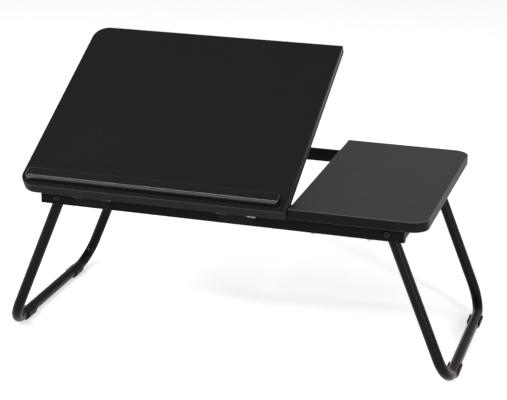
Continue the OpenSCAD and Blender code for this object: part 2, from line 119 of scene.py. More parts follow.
class Graph:
    """The node tree of one material, with the calls that the finishes need."""

    def __init__(self, name: str) -> None:
        """Starts a material that has only its Principled shader and its output."""
        self.material = bpy.data.materials.new(name)
        self.material.use_nodes = True
        self.tree = self.material.node_tree
        self.tree.nodes.clear()
        self.shader = self.tree.nodes.new("ShaderNodeBsdfPrincipled")
        output = self.tree.nodes.new("ShaderNodeOutputMaterial")
        self.tree.links.new(self.shader.outputs[0], output.inputs["Surface"])
        self.place = self.tree.nodes.new("ShaderNodeTexCoord").outputs["Object"]

    def node(self, kind: str, settings: dict, inputs: dict) -> bpy.types.Node:
        """Adds one node.

        Args:
            kind: the node's type.
            settings: its settings, which are set first.
            inputs: values, fields or sockets by input name or number.

        Returns:
            The new node.
        """
        node = self.tree.nodes.new(kind)
        for name, value in settings.items():
            setattr(node, name, value)
        for name, value in inputs.items():
            if isinstance(value, Field):
                self.tree.links.new(value.socket, node.inputs[name])
            elif isinstance(value, bpy.types.NodeSocket):
                self.tree.links.new(value, node.inputs[name])
            else:
                node.inputs[name].default_value = value
        return node

    def placed(self, stretch: Sequence[float] = (1, 1, 1), turn: float = 0.0) -> bpy.types.NodeSocket:
        """Returns Object coordinates turned about X by turn radians and then scaled along each axis."""
        mapping = self.node("ShaderNodeMapping", {"vector_type": "TEXTURE"}, {0: self.place})
        mapping.inputs["Rotation"].default_value = (turn, 0, 0)
        mapping.inputs["Scale"].default_value = [1 / s for s in stretch]
        return mapping.outputs[0]

    def noise(
        self, scale: float, detail: float = 2.0, stretch: Sequence[float] = (1, 1, 1), turn: float = 0.0
    ) -> Field:
        """Returns fractal noise with about scale features to the metre."""
        inputs = {"Vector": self.placed(stretch, turn), "Scale": scale, "Detail": detail}
        return Field(self, self.node("ShaderNodeTexNoise", {}, inputs).outputs[0])

    def cells(self, scale: float, feature: str = "F1") -> Field:
        """Returns the distance field of a Voronoi pattern."""
        inputs = {"Vector": self.place, "Scale": scale}
        return Field(self, self.node("ShaderNodeTexVoronoi", {"feature": feature}, inputs).outputs["Distance"])

    def axis(self, name: str) -> Field:
        """Returns the Object coordinate along X, Y or Z."""
        return Field(self, self.node("ShaderNodeSeparateXYZ", {}, {0: self.place}).outputs[name])

    def edge_mask(self) -> Field:
        """Returns 1 on rounded edges and 0 on the faces between them."""
        node = self.node("ShaderNodeAttribute", {"attribute_name": "arris"}, {})
        return Field(self, node.outputs["Fac"])

    def blend(self, first: Colour, second: Colour, share: Field) -> bpy.types.NodeSocket:
        """Returns a colour between first and second."""
        return self.blend_sockets((*first, 1), (*second, 1), share)

    def shaded(self, tone: Colour, gain: float, share: Field) -> bpy.types.NodeSocket:
        """Returns a colour between tone and gain times tone."""
        return self.blend(tone, tuple(gain * c for c in tone), share)

    def blend_sockets(self, first: object, second: object, share: Field) -> bpy.types.NodeSocket:
        """Returns a colour between two colours or colour sockets."""
        settings = {"data_type": "RGBA", "clamp_factor": True}
        return self.node("ShaderNodeMix", settings, {0: share, 6: first, 7: second}).outputs[2]

    def finish(
        self,
        colour: bpy.types.NodeSocket,
        roughness: Field,
        height: Field,
        bump_depth: float,
        metallic: float = 0.0,
        specular: float = 0.5,
    ) -> bpy.types.Material:
        """Connects the shader's inputs.

        Args:
            colour: the base colour.
            roughness: the roughness.
            height: the relief, from 0 to 1.
            bump_depth: the height in metres that a relief of 1 stands for.
            metallic: how metallic the whole surface is.
            specular: the specular level of the whole surface.

        Returns:
            The finished material.
        """
        bump = self.node("ShaderNodeBump", {}, {"Height": height, "Distance": bump_depth, "Strength": 1.0})
        self.tree.links.new(colour, self.shader.inputs["Base Color"])
        self.tree.links.new(roughness.socket, self.shader.inputs["Roughness"])
        self.tree.links.new(bump.outputs[0], self.shader.inputs["Normal"])
        self.shader.inputs["Metallic"].default_value = metallic
        self.shader.inputs["Specular IOR Level"].default_value = specular
        return self.material


# Finishes


@dataclass(frozen=True)
class Finish:
    """What every finish has: a name, and the record's slot that it shows."""

    name: str
    slot: str

    def material(self) -> bpy.types.Material:
        """Returns the finish's material, made once."""
        made = bpy.data.materials.get(self.name)
        return made if made else self.build(Graph(self.name))

    def build(self, graph: Graph) -> bpy.types.Material:
        """Builds the finish's nodes."""
        raise NotImplementedError


@dataclass(frozen=True)
class GrainedLaminate(Finish):
    """Leathery black laminate: fine pebbles, soft cloudy tone and a few rubbed places."""

    tone: Colour = (0.0035, 0.0035, 0.004)
    pebble: float = 1100.0
    turn: float = 0.0

    def build(self, graph: Graph) -> bpy.types.Material:
        """Builds the finish's nodes."""
        pebbles = graph.cells(self.pebble, "DISTANCE_TO_EDGE").rise(0.02, 0.28)
        creases = graph.noise(380, 3)
        cloud = graph.noise(9, 4)
        speck = graph.noise(2600, 1)
        shade = cloud * 0.35 + pebbles * 0.2 + graph.noise(430, 2).rise(0.3, 0.7) * 0.45
        rubbed = graph.noise(26, 5, (1, 3, 1), self.turn).rise(0.56, 0.74)
        colour = graph.shaded(self.tone, 2.3, shade)
        edges = graph.edge_mask()
        worn = graph.blend_sockets(colour, (0.03, 0.03, 0.031, 1), edges * 0.5)
        roughness = 0.56 - rubbed * 0.06 + creases * 0.1 - edges * 0.2
        height = pebbles * 0.6 + creases * 0.25 + speck * 0.15
        return graph.finish(worn, roughness, height, 0.00006, specular=0.16)


@dataclass(frozen=True)
class SmoothLaminate(Finish):
    """Charcoal laminate: very fine print grain, faint smudges and hairline scratches."""

    tone: Colour = (0.0138, 0.0101, 0.0095)
    smudge: Colour = (0.0045, 0.0031, 0.003)

    def build(self, graph: Graph) -> bpy.types.Material:
        """Builds the finish's nodes."""
        grain = graph.noise(160, 5, (1, 9, 1))
        cloud = graph.noise(7, 3)
        blots = graph.noise(34, 3, (1.5, 1, 1)).rise(0.6, 0.8)
        dots = graph.cells(46).rise(0.075, 0.02)
        scratches = graph.noise(30, 2, (0.4, 22, 1)).rise(0.71, 0.74)
        print_tone = graph.shaded(self.tone, 1.5, grain.rise(0.3, 0.7) * 0.5 + cloud * 0.5)
        flecks = graph.noise(250, 3, (0.6, 1.6, 1)).rise(0.35, 0.7)
        marks = blots * 0.75 + dots * cloud.rise(0.5, 0.62) * 0.9 + flecks * 0.45
        colour = graph.blend_sockets(print_tone, (*self.smudge, 1), marks)
        edges = graph.edge_mask()
        worn = graph.blend_sockets(colour, (0.075, 0.073, 0.072, 1), edges * 0.8 + scratches * 0.1)
        roughness = 0.4 + grain * 0.1 - blots * 0.05 + scratches * 0.08 - edges * 0.08
        height = grain * 0.7 + graph.noise(1900, 1) * 0.3
        return graph.finish(worn, roughness, height, 0.000012, specular=0.22)


@dataclass(frozen=True)
class EdgeBand(Finish):
    """Black edge band: extrusion lines along its length, small nicks and a rubbed arris."""

    tone: Colour = (0.0036, 0.0036, 0.0042)

    def build(self, graph: Graph) -> bpy.types.Material:
        """Builds the finish's nodes."""
        lines = graph.noise(900, 2, (0.02, 0.02, 1))
        cloud = graph.noise(24, 4)
        nicks = graph.cells(95).rise(0.035, 0.012)
        edges = graph.edge_mask()
        colour = graph.shaded(self.tone, 1.9, cloud * 0.7 + lines * 0.3)
        worn = graph.blend_sockets(colour, (0.035, 0.034, 0.036, 1), edges * (cloud * 0.5 + 0.25) + nicks * 0.25)
        roughness = 0.36 + lines * 0.14 + nicks * 0.1 - edges * 0.08
        return graph.finish(worn, roughness, lines * 0.6 + cloud * 0.4, 0.00002, specular=0.06)


@dataclass(frozen=True)
class CutBoardEdge(Finish):
    """Sawn and stained board edge at the split: fibres and a paler stripe where the stain is thin."""

    tilt: float = 0.0
    middle: float = 0.0
    half: float = 0.0075
    pivot_y: float = 0.0
    pivot_z: float = 0.0
    stain: Colour = (0.0075, 0.0065, 0.006)
    fibre: Colour = (0.16, 0.115, 0.09)

    def build(self, graph: Graph) -> bpy.types.Material:
        """Builds the finish's nodes."""
        across_y = (graph.axis("Y") - self.pivot_y) * -math.sin(self.tilt)
        across_z = (graph.axis("Z") - self.pivot_z) * math.cos(self.tilt)
        depth = (across_y + across_z - self.middle) * (1 / self.half)
        wander = (graph.noise(45, 3) - 0.5) * 0.5
        stripe = (depth + wander).rise(-0.15, 0.25) * (depth + wander).rise(0.85, 0.55)
        fibres = graph.noise(700, 4, (1, 0.15, 1), self.tilt)
        bare = stripe * (fibres * 0.6 + 0.5) * (graph.axis("Y") + graph.noise(12, 3) * 0.05).rise(-0.13, 0.09)
        colour = graph.blend(self.stain, self.fibre, bare)
        roughness = 0.62 + fibres * 0.2
        return graph.finish(colour, roughness, fibres, 0.00006, specular=0.3)


@dataclass(frozen=True)
class GlossLacquer(Finish):
    """Gloss black lacquer on a wood moulding: slow orange peel, dust specks and light hazing."""

    tone: Colour = (0.0028, 0.0028, 0.0035)
    gloss: float = 0.6

    def build(self, graph: Graph) -> bpy.types.Material:
        """Builds the finish's nodes."""
        peel = graph.noise(240, 2)
        haze = graph.noise(30, 4, (0.5, 2, 2))
        dust_and_floor_reflection = graph.cells(420).rise(0.06, 0.02)
        colour = graph.shaded(self.tone, 1.8, haze)
        roughness = 0.13 + haze * 0.1 + dust_and_floor_reflection * 0.2
        return graph.finish(colour, roughness, peel * 0.8 + dust_and_floor_reflection * 0.2, 0.00002, specular=self.gloss)


@dataclass(frozen=True)
class PowderCoat(Finish):
    """Black powder coat on steel tube: fine orange peel, cloudy gloss, thin places on the edges and an optional
    painted floor reflection low down.
    """

    tone: Colour = (0.0024, 0.0024, 0.0026)
    base_roughness: float = 0.34
    gloss: float = 0.035
    # Colour of the painted floor reflection, and the height below which it is blended in; 0 leaves it out.
    dust_and_floor_reflection: Colour = (0.02, 0.0195, 0.019)
    floor_reflection_to: float = 0.0

    def build(self, graph: Graph) -> bpy.types.Material:
        """Builds the finish's nodes."""
        peel = graph.noise(1500, 2)
        swell = graph.noise(260, 2)
        cloud = graph.noise(18, 4)
        scuffs = graph.noise(60, 5, (1, 1, 4)).rise(0.66, 0.78)
        edges = graph.edge_mask()
        chips = (edges * graph.noise(420, 3)).rise(0.6, 0.7)
        colour = graph.shaded(self.tone, 1.7, cloud * 0.6 + peel * 0.4)
        worn = graph.blend_sockets(colour, (0.024, 0.023, 0.0225, 1), scuffs * 0.3 + chips * 0.7)
        # Painted floor reflection: towards the floor the coat is blended to a lighter colour that stands in for the
        # floor seen in the tube.
        if self.floor_reflection_to:
            low = graph.axis("Z").rise(self.floor_reflection_to, self.floor_reflection_to * 0.4)
            worn = graph.blend_sockets(worn, (*self.dust_and_floor_reflection, 1), low * (cloud * 0.6 + 0.35))
        roughness = self.base_roughness + cloud * 0.12 + scuffs * 0.1 - edges * 0.05
        return graph.finish(worn, roughness, peel * 0.45 + swell * 0.55, 0.00004, specular=self.gloss)


@dataclass(frozen=True)
class MouldedNylon(Finish):
    """Moulded nylon: spark-eroded texture, flow clouds and greyed edges."""

    tone: Colour = (0.0045, 0.0045, 0.0048)
    worn: Colour = (0.026, 0.026, 0.027)

    def build(self, graph: Graph) -> bpy.types.Material:
        """Builds the finish's nodes."""
        spark = graph.noise(3200, 2)
        flow = graph.noise(70, 4, (1, 0.3, 1))
        edges = graph.edge_mask()
        colour = graph.shaded(self.tone, 1.6, flow)
        rubbed = graph.blend_sockets(colour, (*self.worn, 1), edges * 0.6)
        roughness = 0.5 + spark * 0.18 - edges * 0.1
        return graph.finish(rubbed, roughness, spark, 0.00002, specular=0.2)


@dataclass(frozen=True)
class PlatedSteel(Finish):
    """Plated steel: spangled patches, fine handling marks and dull clouds."""

    tone: Colour = (0.42, 0.42, 0.44)
    dull: Colour = (0.27, 0.265, 0.25)
    base_roughness: float = 0.26

    def build(self, graph: Graph) -> bpy.types.Material:
        """Builds the finish's nodes."""
        spangle = graph.cells(260)
        bloom = graph.noise(55, 5)
        marks = graph.noise(500, 2, (1, 1, 0.06))
        colour = graph.blend(self.tone, self.dull, bloom.rise(0.4, 0.75) * 0.8 + spangle * 0.3)
        roughness = self.base_roughness + bloom * 0.2 + marks * 0.08
        return graph.finish(colour, roughness, marks * 0.6 + spangle * 0.4, 0.00001, metallic=1.0)


@dataclass(frozen=True)
class WornHinge(Finish):
    """Rolled hinge steel under black paint, bright where rubbed bare and, as a painted highlight, along the edges.
    """

    steel: Colour = (0.36, 0.35, 0.34)
    paint: Colour = (0.006, 0.006, 0.0063)
    bare_from: float = 0.5
    gloss: float = 0.2

    def build(self, graph: Graph) -> bpy.types.Material:
        """Builds the finish's nodes."""
        patches = graph.noise(130, 5, (0.5, 1, 1))
        edges = graph.edge_mask()
        # Bare steel shows in worn patches and, as a painted highlight, a little more readily along the rounded
        # edges.
        bare = (patches + edges * 0.12).rise(self.bare_from, self.bare_from + 0.14)
        colour = graph.blend(self.paint, self.steel, bare)
        material = graph.finish(colour, 0.42 - bare * 0.1 + patches * 0.1, patches, 0.00002, specular=self.gloss)
        graph.tree.links.new((bare * 0.9).socket, graph.shader.inputs["Metallic"])
        return material


@dataclass(frozen=True)
class DrawnWire(Finish):
    """Bright plated wire: drawing lines round it in bands, and rub marks from the racks."""

    tone: Colour = (0.55, 0.55, 0.57)

    def build(self, graph: Graph) -> bpy.types.Material:
        """Builds the finish's nodes."""
        bands = graph.noise(220, 3)
        haze = graph.noise(30, 4)
        colour = graph.shaded(self.tone, 0.6, haze.rise(0.45, 0.8))
        return graph.finish(colour, 0.2 + haze * 0.16 + bands * 0.06, bands, 0.00001, metallic=1.0)


GRAIN = GrainedLaminate("grained_black_laminate", "main_laminate")
CHARCOAL = SmoothLaminate("charcoal_laminate", "side_laminate")
MAIN_BAND = EdgeBand("main_board_edge_band", "main_laminate")
SIDE_BAND = EdgeBand("side_board_edge_band", "side_laminate", tone=(0.0027, 0.0023, 0.0025))
LACQUER = GlossLacquer("gloss_black_lacquer", "ledge_lacquer")
COAT = PowderCoat("black_powder_coat", "black_paint")
# Near the floor both legs get a painted floor reflection: grey on the left leg, tan on the right.
LEFT_COAT = PowderCoat(
    "left_leg_coat", "black_paint", base_roughness=0.12, gloss=0.07, dust_and_floor_reflection=(0.011, 0.0105, 0.0105), floor_reflection_to=0.03
)
RIGHT_COAT = PowderCoat(
    "right_leg_coat", "black_paint", base_roughness=0.12, gloss=0.07, dust_and_floor_reflection=(0.034, 0.021, 0.0145), floor_reflection_to=0.024
)
BEAD_COAT = PowderCoat("weld_bead_coat", "black_paint", base_roughness=0.28)
NYLON = MouldedNylon("black_nylon", "black_plastic")
CLEAR_NYLON = MouldedNylon("natural_nylon", "zinc_screw", tone=(0.45, 0.46, 0.44), worn=(0.55, 0.55, 0.53))
BOLT_LACQUER = GlossLacquer("black_bolt_lacquer", "black_bolt", tone=(0.0026, 0.0026, 0.0028), gloss=0.1)
ZINC = PlatedSteel("bright_zinc", "zinc_screw")
ZINC_SHEET = PlatedSteel("zinc_sheet", "zinc_plate", tone=(0.34, 0.34, 0.36), base_roughness=0.32)
# The right hinge's finish shows more bright steel than the left's: partly worn paint, partly a painted highlight.
HINGE_WORN_AND_HIGHLIT = WornHinge("worn_and_highlit_hinge_steel", "hinge_steel", bare_from=0.5)
HINGE_KEPT = WornHinge("kept_hinge_steel", "hinge_steel", bare_from=0.66)
HINGE_DULL = WornHinge(
    "painted_hinge_steel", "hinge_steel", paint=(0.0034, 0.0034, 0.0036), bare_from=0.74, gloss=0.06
)
WIRE = DrawnWire("drawn_wire", "stay_wire")


# Shaping


def verts_among(geom: Iterable[object]) -> list[BMVert]:
    """Returns the vertices among an operator's results."""
    return [g for g in geom if isinstance(g, BMVert)]


class Workpiece:
    """A mesh being shaped with bmesh operators, in metres."""

    def __init__(self, name: str) -> None:
        """Starts an empty mesh that will become the piece called name."""
        self.name = name
        self.bm = bmesh.new()
        self.arris = self.bm.faces.layers.float.new("arris")

    def block(self, low: Sequence[float], high: Sequence[float]) -> list[BMFace]:
        """Adds a box between two corners and returns its faces."""
        low, high = Vector(low), Vector(high)
        verts = bmesh.ops.create_cube(self.bm, size=1.0)["verts"]
        bmesh.ops.scale(self.bm, vec=high - low, verts=verts)
        bmesh.ops.translate(self.bm, vec=(low + high) / 2, verts=verts)
        return list({f for v in verts for f in v.link_faces})

    def turned(
        self, profile: Sequence[tuple[float, float]], base: Vector, axis: Vector, sides: int = 40
    ) -> list[BMFace]:
        """Turns an outline as a lathe does.

        Args:
            profile: (radius, height) pairs from one end of the piece to the other.
            base: the point that height 0 stands for.
            axis: the direction of height.
            sides: steps round the circle.

        Returns:
            The new faces.
        """
        old = set(self.bm.faces)
        points = [self.bm.verts.new((r, 0, h)) for r, h in profile]
        lines = [self.bm.edges.new(pair) for pair in zip(points, points[1:])]
        bmesh.ops.spin(
            self.bm, geom=points + lines, cent=(0, 0, 0), axis=(0, 0, 1), angle=math.tau, steps=sides, use_merge=True
        )
        faces = [f for f in self.bm.faces if f not in old]
        verts = list({v for f in faces for v in f.verts})
        bmesh.ops.remove_doubles(self.bm, verts=verts, dist=1e-7)
        faces = [f for f in self.bm.faces if f not in old]
        bmesh.ops.recalc_face_normals(self.bm, faces=faces)
        verts = list({v for f in faces for v in f.verts})
        turn = Vector(axis).to_track_quat("Z", "Y").to_matrix().to_4x4()
        bmesh.ops.transform(self.bm, matrix=Matrix.Translation(base) @ turn, verts=verts)
        return faces

    def round_edges(self, edges: Iterable[BMEdge], radius: float, segments: int = 3) -> list[BMFace]:
        """Rounds edges and marks the new faces as arrises, which it returns."""
        made = bmesh.ops.bevel(
            self.bm,
            geom=list(edges),
            offset=radius,
            offset_type="OFFSET",
            segments=segments,
            profile=0.5,
            affect="EDGES",
            clamp_overlap=True,
            material=-1,
        )["faces"]
        for face in made:
            face[self.arris] = 1.0
        return made

    def sharp_edges(self, angle: float = 30.0) -> list[BMEdge]:
        """Returns the edges whose faces meet at more than angle degrees."""
        limit = math.radians(angle)
        return [e for e in self.bm.edges if len(e.link_faces) == 2 and e.calc_face_angle(0) > limit]

    def edges_along(self, axis: Sequence[float], faces: Optional[Iterable[BMFace]] = None) -> list[BMEdge]:
        """Returns the edges parallel to axis, of the given faces or of the whole piece."""
        pool = {e for f in faces for e in f.edges} if faces is not None else self.bm.edges
        axis = Vector(axis)
        return [e for e in pool if abs((e.verts[1].co - e.verts[0].co).normalized().dot(axis)) > 0.999]

    def faces_towards(self, direction: Sequence[float], share: float = 0.99) -> list[BMFace]:
        """Returns the faces whose normals point along direction."""
        self.bm.normal_update()
        direction = Vector(direction).normalized()
        return [f for f in self.bm.faces if f.normal.dot(direction) > share]

    def absorb(self, part: "Workpiece", places: Iterable[Matrix]) -> None:
        """Adds a copy of part at each place, turned the right way out where the place mirrors it."""
        carry = bpy.data.meshes.new("carry")
        part.bm.to_mesh(carry)
        for place in places:
            old_verts, old_faces = set(self.bm.verts), set(self.bm.faces)
            self.bm.from_mesh(carry)
            verts = [v for v in self.bm.verts if v not in old_verts]
            bmesh.ops.transform(self.bm, matrix=place, verts=verts)
            if place.determinant() < 0:
                bmesh.ops.reverse_faces(self.bm, faces=[f for f in self.bm.faces if f not in old_faces])
        bpy.data.meshes.remove(carry)

    def face_outwards(self) -> None:
        """Turns every face outwards."""
        bmesh.ops.recalc_face_normals(self.bm, faces=self.bm.faces)

    def move(self, place: Matrix) -> None:
        """Moves the whole piece."""
        bmesh.ops.transform(self.bm, matrix=place, verts=self.bm.verts)

    def paint(self, faces: Iterable[BMFace], number: int) -> None:
        """Gives the faces the finish of that number."""
        for face in faces:
            face.material_index = number

    def done(
        self, finishes: Sequence[Finish], body: str, replaces: Sequence[str] = (), smooth_angle: float = 50.0
    ) -> bpy.types.Object:
        """Makes the Blender object.

        Args:
            finishes: the finishes that the faces' numbers stand for.
            body: the CAD body that the piece moves with.
            replaces: the CAD nodes that it stands for.
            smooth_angle: edges sharper than this many degrees stay sharp.

        Returns:
            The finished object.
        """
        for face in self.bm.faces:
            face.smooth = True
        mesh = bpy.data.meshes.new(self.name)
        self.bm.to_mesh(mesh)
        self.bm.free()
        mesh.set_sharp_from_angle(angle=math.radians(smooth_angle))
        for finish in finishes:
            mesh.materials.append(finish.material())
        piece = bpy.data.objects.new(self.name, mesh)
        bpy.context.scene.collection.objects.link(piece)
        even = piece.modifiers.new("even_shading", "WEIGHTED_NORMAL")
        even.keep_sharp = True
        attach(piece, body)
        if replaces:
            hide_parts(*replaces)
        log.info("%s: %d faces, rides on %s", self.name, len(mesh.polygons), body)
        return piece


class Bender:
    """Draws round bar as a tube bender does: a ring is pushed along and swung round bend after bend."""

    def __init__(self, work: Workpiece, tip: Vector, heading: Vector, radius: float, sides: int = 28) -> None:
        """Starts the bar at tip with its ring square to heading."""
        self.work = work
        self.tip = tip.copy()
        self.heading = heading.normalized()
        self.radius = radius
        made = bmesh.ops.create_circle(work.bm, cap_ends=False, segments=sides, radius=radius)["verts"]
        turn = self.heading.to_track_quat("Z", "Y").to_matrix().to_4x4()
        bmesh.ops.transform(work.bm, matrix=Matrix.Translation(tip) @ turn, verts=made)
        self.ring = list({e for v in made for e in v.link_edges})
        self.first_ring = list(self.ring)

    def ring_verts(self, ring: Optional[list[BMEdge]] = None) -> list[BMVert]:
        """Returns the vertices of a ring, the last one if none is given."""
        return list({v for e in (ring or self.ring) for v in e.verts})

    def straight(self, length: float, steps: int = 1, swell: Sequence[float] = ()) -> "Bender":
        """Pushes the bar on.

        Args:
            length: how far.
            steps: how many equal pushes.
            swell: the ring's size at each push as a share of the bar's radius, if it varies.

        Returns:
            The bender, for the next bend.
        """
        now = 1.0
        for i in range(steps):
            geom = bmesh.ops.extrude_edge_only(self.work.bm, edges=self.ring)["geom"]
            verts = verts_among(geom)
            fresh = set(verts)
            self.ring = [e for v in verts for e in v.link_edges if set(e.verts) <= fresh]
            self.ring = list(dict.fromkeys(self.ring))
            push = self.heading * (length / steps)
            bmesh.ops.translate(self.work.bm, vec=push, verts=verts)
            self.tip += push
            if swell:
                space = Matrix.Translation(-self.tip)
                factor = swell[i % len(swell)]
                bmesh.ops.scale(self.work.bm, vec=Vector((1, 1, 1)) * (factor / now), space=space, verts=verts)
                now = factor
        return self

    def bend(self, angle: float, radius: float, axis: Vector, steps: int = 12) -> "Bender":
        """Swings the bar by angle radians about axis, with the given centreline radius."""
        centre = self.tip + axis.cross(self.heading).normalized() * radius * math.copysign(1, angle)
        made = bmesh.ops.spin(
            self.work.bm,
            geom=self.ring_verts() + self.ring,
            cent=centre,
            axis=axis,
            angle=angle,
            steps=steps,
            use_merge=False,
            use_duplicate=False,
        )["geom_last"]
        self.ring = [g for g in made if isinstance(g, BMEdge)]
        swing = Matrix.Rotation(angle, 3, axis)
        self.tip = centre + swing @ (self.tip - centre)
        self.heading = swing @ self.heading
        return self

    def cap(self, ring: list[BMEdge]) -> BMFace:
        """Closes a ring with one face, which it returns."""
        return bmesh.ops.edgeloop_fill(self.work.bm, edges=ring)["faces"][0]

    def close(self, chamfer: float = 0.0) -> None:
        """Closes both ends, rounds their rims and turns every face outwards."""
        caps = [self.cap(self.first_ring), self.cap(self.ring)]
        if chamfer:
            rims = {e for f in caps for e in f.edges}
            self.work.round_edges(rims, chamfer, 3)
        self.work.face_outwards()


def box_tube(name: str, low: Vector, high: Vector, axis: Vector, wall: float, corner: float) -> Workpiece:
    """Makes a hollow rectangular tube with rounded corners, open at both ends.

    Args:
        name: the piece's name.
        low: its lowest corner.
        high: its highest corner.
        axis: the direction of its length.
        wall: the thickness of its wall.
        corner: the outer radius of its long edges.

    Returns:
        The tube.
    """
    work = Workpiece(name)
    work.block(low, high)
    work.round_edges(work.edges_along(axis), corner, 4)
    ends = work.faces_towards(axis) + work.faces_towards(-axis)
    bmesh.ops.inset_region(work.bm, faces=ends, thickness=wall, depth=0.0, use_even_offset=True)
    loops = [e for f in ends for e in f.edges]
    bmesh.ops.delete(work.bm, geom=ends, context="FACES_ONLY")
    bmesh.ops.bridge_loops(work.bm, edges=loops)
    work.face_outwards()
    return work


def from_cad(name: str, node: str, arris: float) -> Workpiece:
    """Copies a CAD node's mesh, joins its triangles and rounds its sharp edges.

    Args:
        name: the piece's name.
        node: the CAD node.
        arris: the radius of the rounded edges.

    Returns:
        The copy.
    """
    work = Workpiece(name)
    work.bm.from_mesh(frame["nodes"][node].data)
    work.arris = work.bm.faces.layers.float.get("arris") or work.bm.faces.layers.float.new("arris")
    bmesh.ops.remove_doubles(work.bm, verts=work.bm.verts, dist=1e-6)
    bmesh.ops.dissolve_limit(
        work.bm, angle_limit=math.radians(1), verts=work.bm.verts, edges=work.bm.edges, use_dissolve_boundaries=False
    )
    work.round_edges(work.sharp_edges(40), arris, 2)
    work.paint(work.bm.faces, 0)
    return work


class Head(Enum):
    """How a screw's head sits."""

    PAN = "pan"
    COUNTERSUNK = "countersunk"


@dataclass
class Screw:
    """A screw whose head's top is at the origin, with its shank along +Z."""

    shank_r: float
    head_r: float
    head_h: float
    length: float
    head: Head = Head.PAN
    thread_pitch: float = 1.25 * MM

    def make(self) -> Workpiece:
        """Returns one screw with a turned head, a cross recess and thread ridges."""
        work = Workpiece("screw")
        flush = self.head is Head.COUNTERSUNK
        top = 0.0 if flush else self.head_h * 0.25
        rings = [(self.head_r * s, top * (s * s)) for s in (0.0, 0.12, 0.3, 0.55, 0.75, 0.92)]
        rim = [(self.head_r, top + 0.12 * self.head_h)]
        under = [] if flush else [(self.head_r, self.head_h)]
        neck = [(self.shank_r, self.head_h + 0.02 * MM)]
        turns = int((self.length - self.head_h) / self.thread_pitch)
        thread = []
        for i in range(1, turns):
            z = self.head_h + i * self.thread_pitch
            thread += [(self.shank_r * 0.8, z - self.thread_pitch * 0.45), (self.shank_r, z)]
        tip = [(self.shank_r * 0.7, self.length - 0.6 * MM), (0.0, self.length)]
        work.turned(rings + rim + under + neck + thread + tip, Vector(), Vector((0, 0, 1)), 32)
        self.sink_cross(work)
        return work

    def sink_cross(self, work: Workpiece) -> None:
        """Presses the cross recess into the head's top."""
        depth = 0.55 * self.head_h
        for vert in work.bm.verts:
            reach = vert.co.xy.length
            if vert.co.z > self.head_h * 0.3 or reach > self.head_r * 0.6:
                continue
            off = abs(math.remainder(math.atan2(vert.co.y, vert.co.x), math.pi / 2)) if reach else 0.0
            if reach < self.head_r * 0.2 or off < math.radians(8):
                vert.co.z += depth * (1 - reach / self.head_r * 0.5)


# The table's layout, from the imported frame


def joint(name: str) -> dict:
    """Returns the record's joint of that name."""
    return next(j for j in frame["joints"] if j["name"] == name)


@dataclass
class Layout:
    """Places that several assemblies share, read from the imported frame."""

    rest_gap: float = 0.4 * MM
    splay: float = math.radians(22.25)
    hinge: Vector = field(init=False)
    tilt: float = field(init=False)
    lift: float = field(init=False)
    deck: float = field(init=False)
    board_t: float = field(init=False)
    front: float = field(init=False)
    back: float = field(init=False)

    def __post_init__(self) -> None:
        """Reads the joints and the side board's box."""
        low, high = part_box("side_board")
        tilt = joint("board_tilt")
        self.hinge = Vector(tilt["pos_m"])
        self.tilt = math.radians(-tilt["range_deg"][0])
        self.deck = low.z
        self.board_t = high.z - low.z
        self.front, self.back = low.y, high.y
        self.lift = self.deck + self.rest_gap - self.hinge.z

    def board_place(self) -> Matrix:
        """Returns the matrix from the level board's hinge axis to the tilted board."""
        return Matrix.Translation(self.hinge) @ Matrix.Rotation(self.tilt, 4, "X")

    def stay_place(self) -> Matrix:
        """Returns the matrix from the level stay's pivot to the raised stay."""
        return Matrix.Translation(joint("stay_swing")["pos_m"]) @ Matrix.Rotation(2 * self.tilt, 4, "X")

    def leg_place(self, side: int) -> Matrix:
        """Returns the matrix from a leg that hangs straight down to the splayed leg; side is -1 or 1."""
        pivot = Vector(joint("right_leg_fold" if side > 0 else "left_leg_fold")["pos_m"])
        return Matrix.Translation(pivot) @ Matrix.Rotation(-side * self.splay, 4, "Y")


def front_and_back() -> list[Matrix]:
    """Returns the identity and the mirror from front to back."""
    return [Matrix.Identity(4), Matrix.Scale(-1, 4, (0, 1, 0))]


# Assemblies


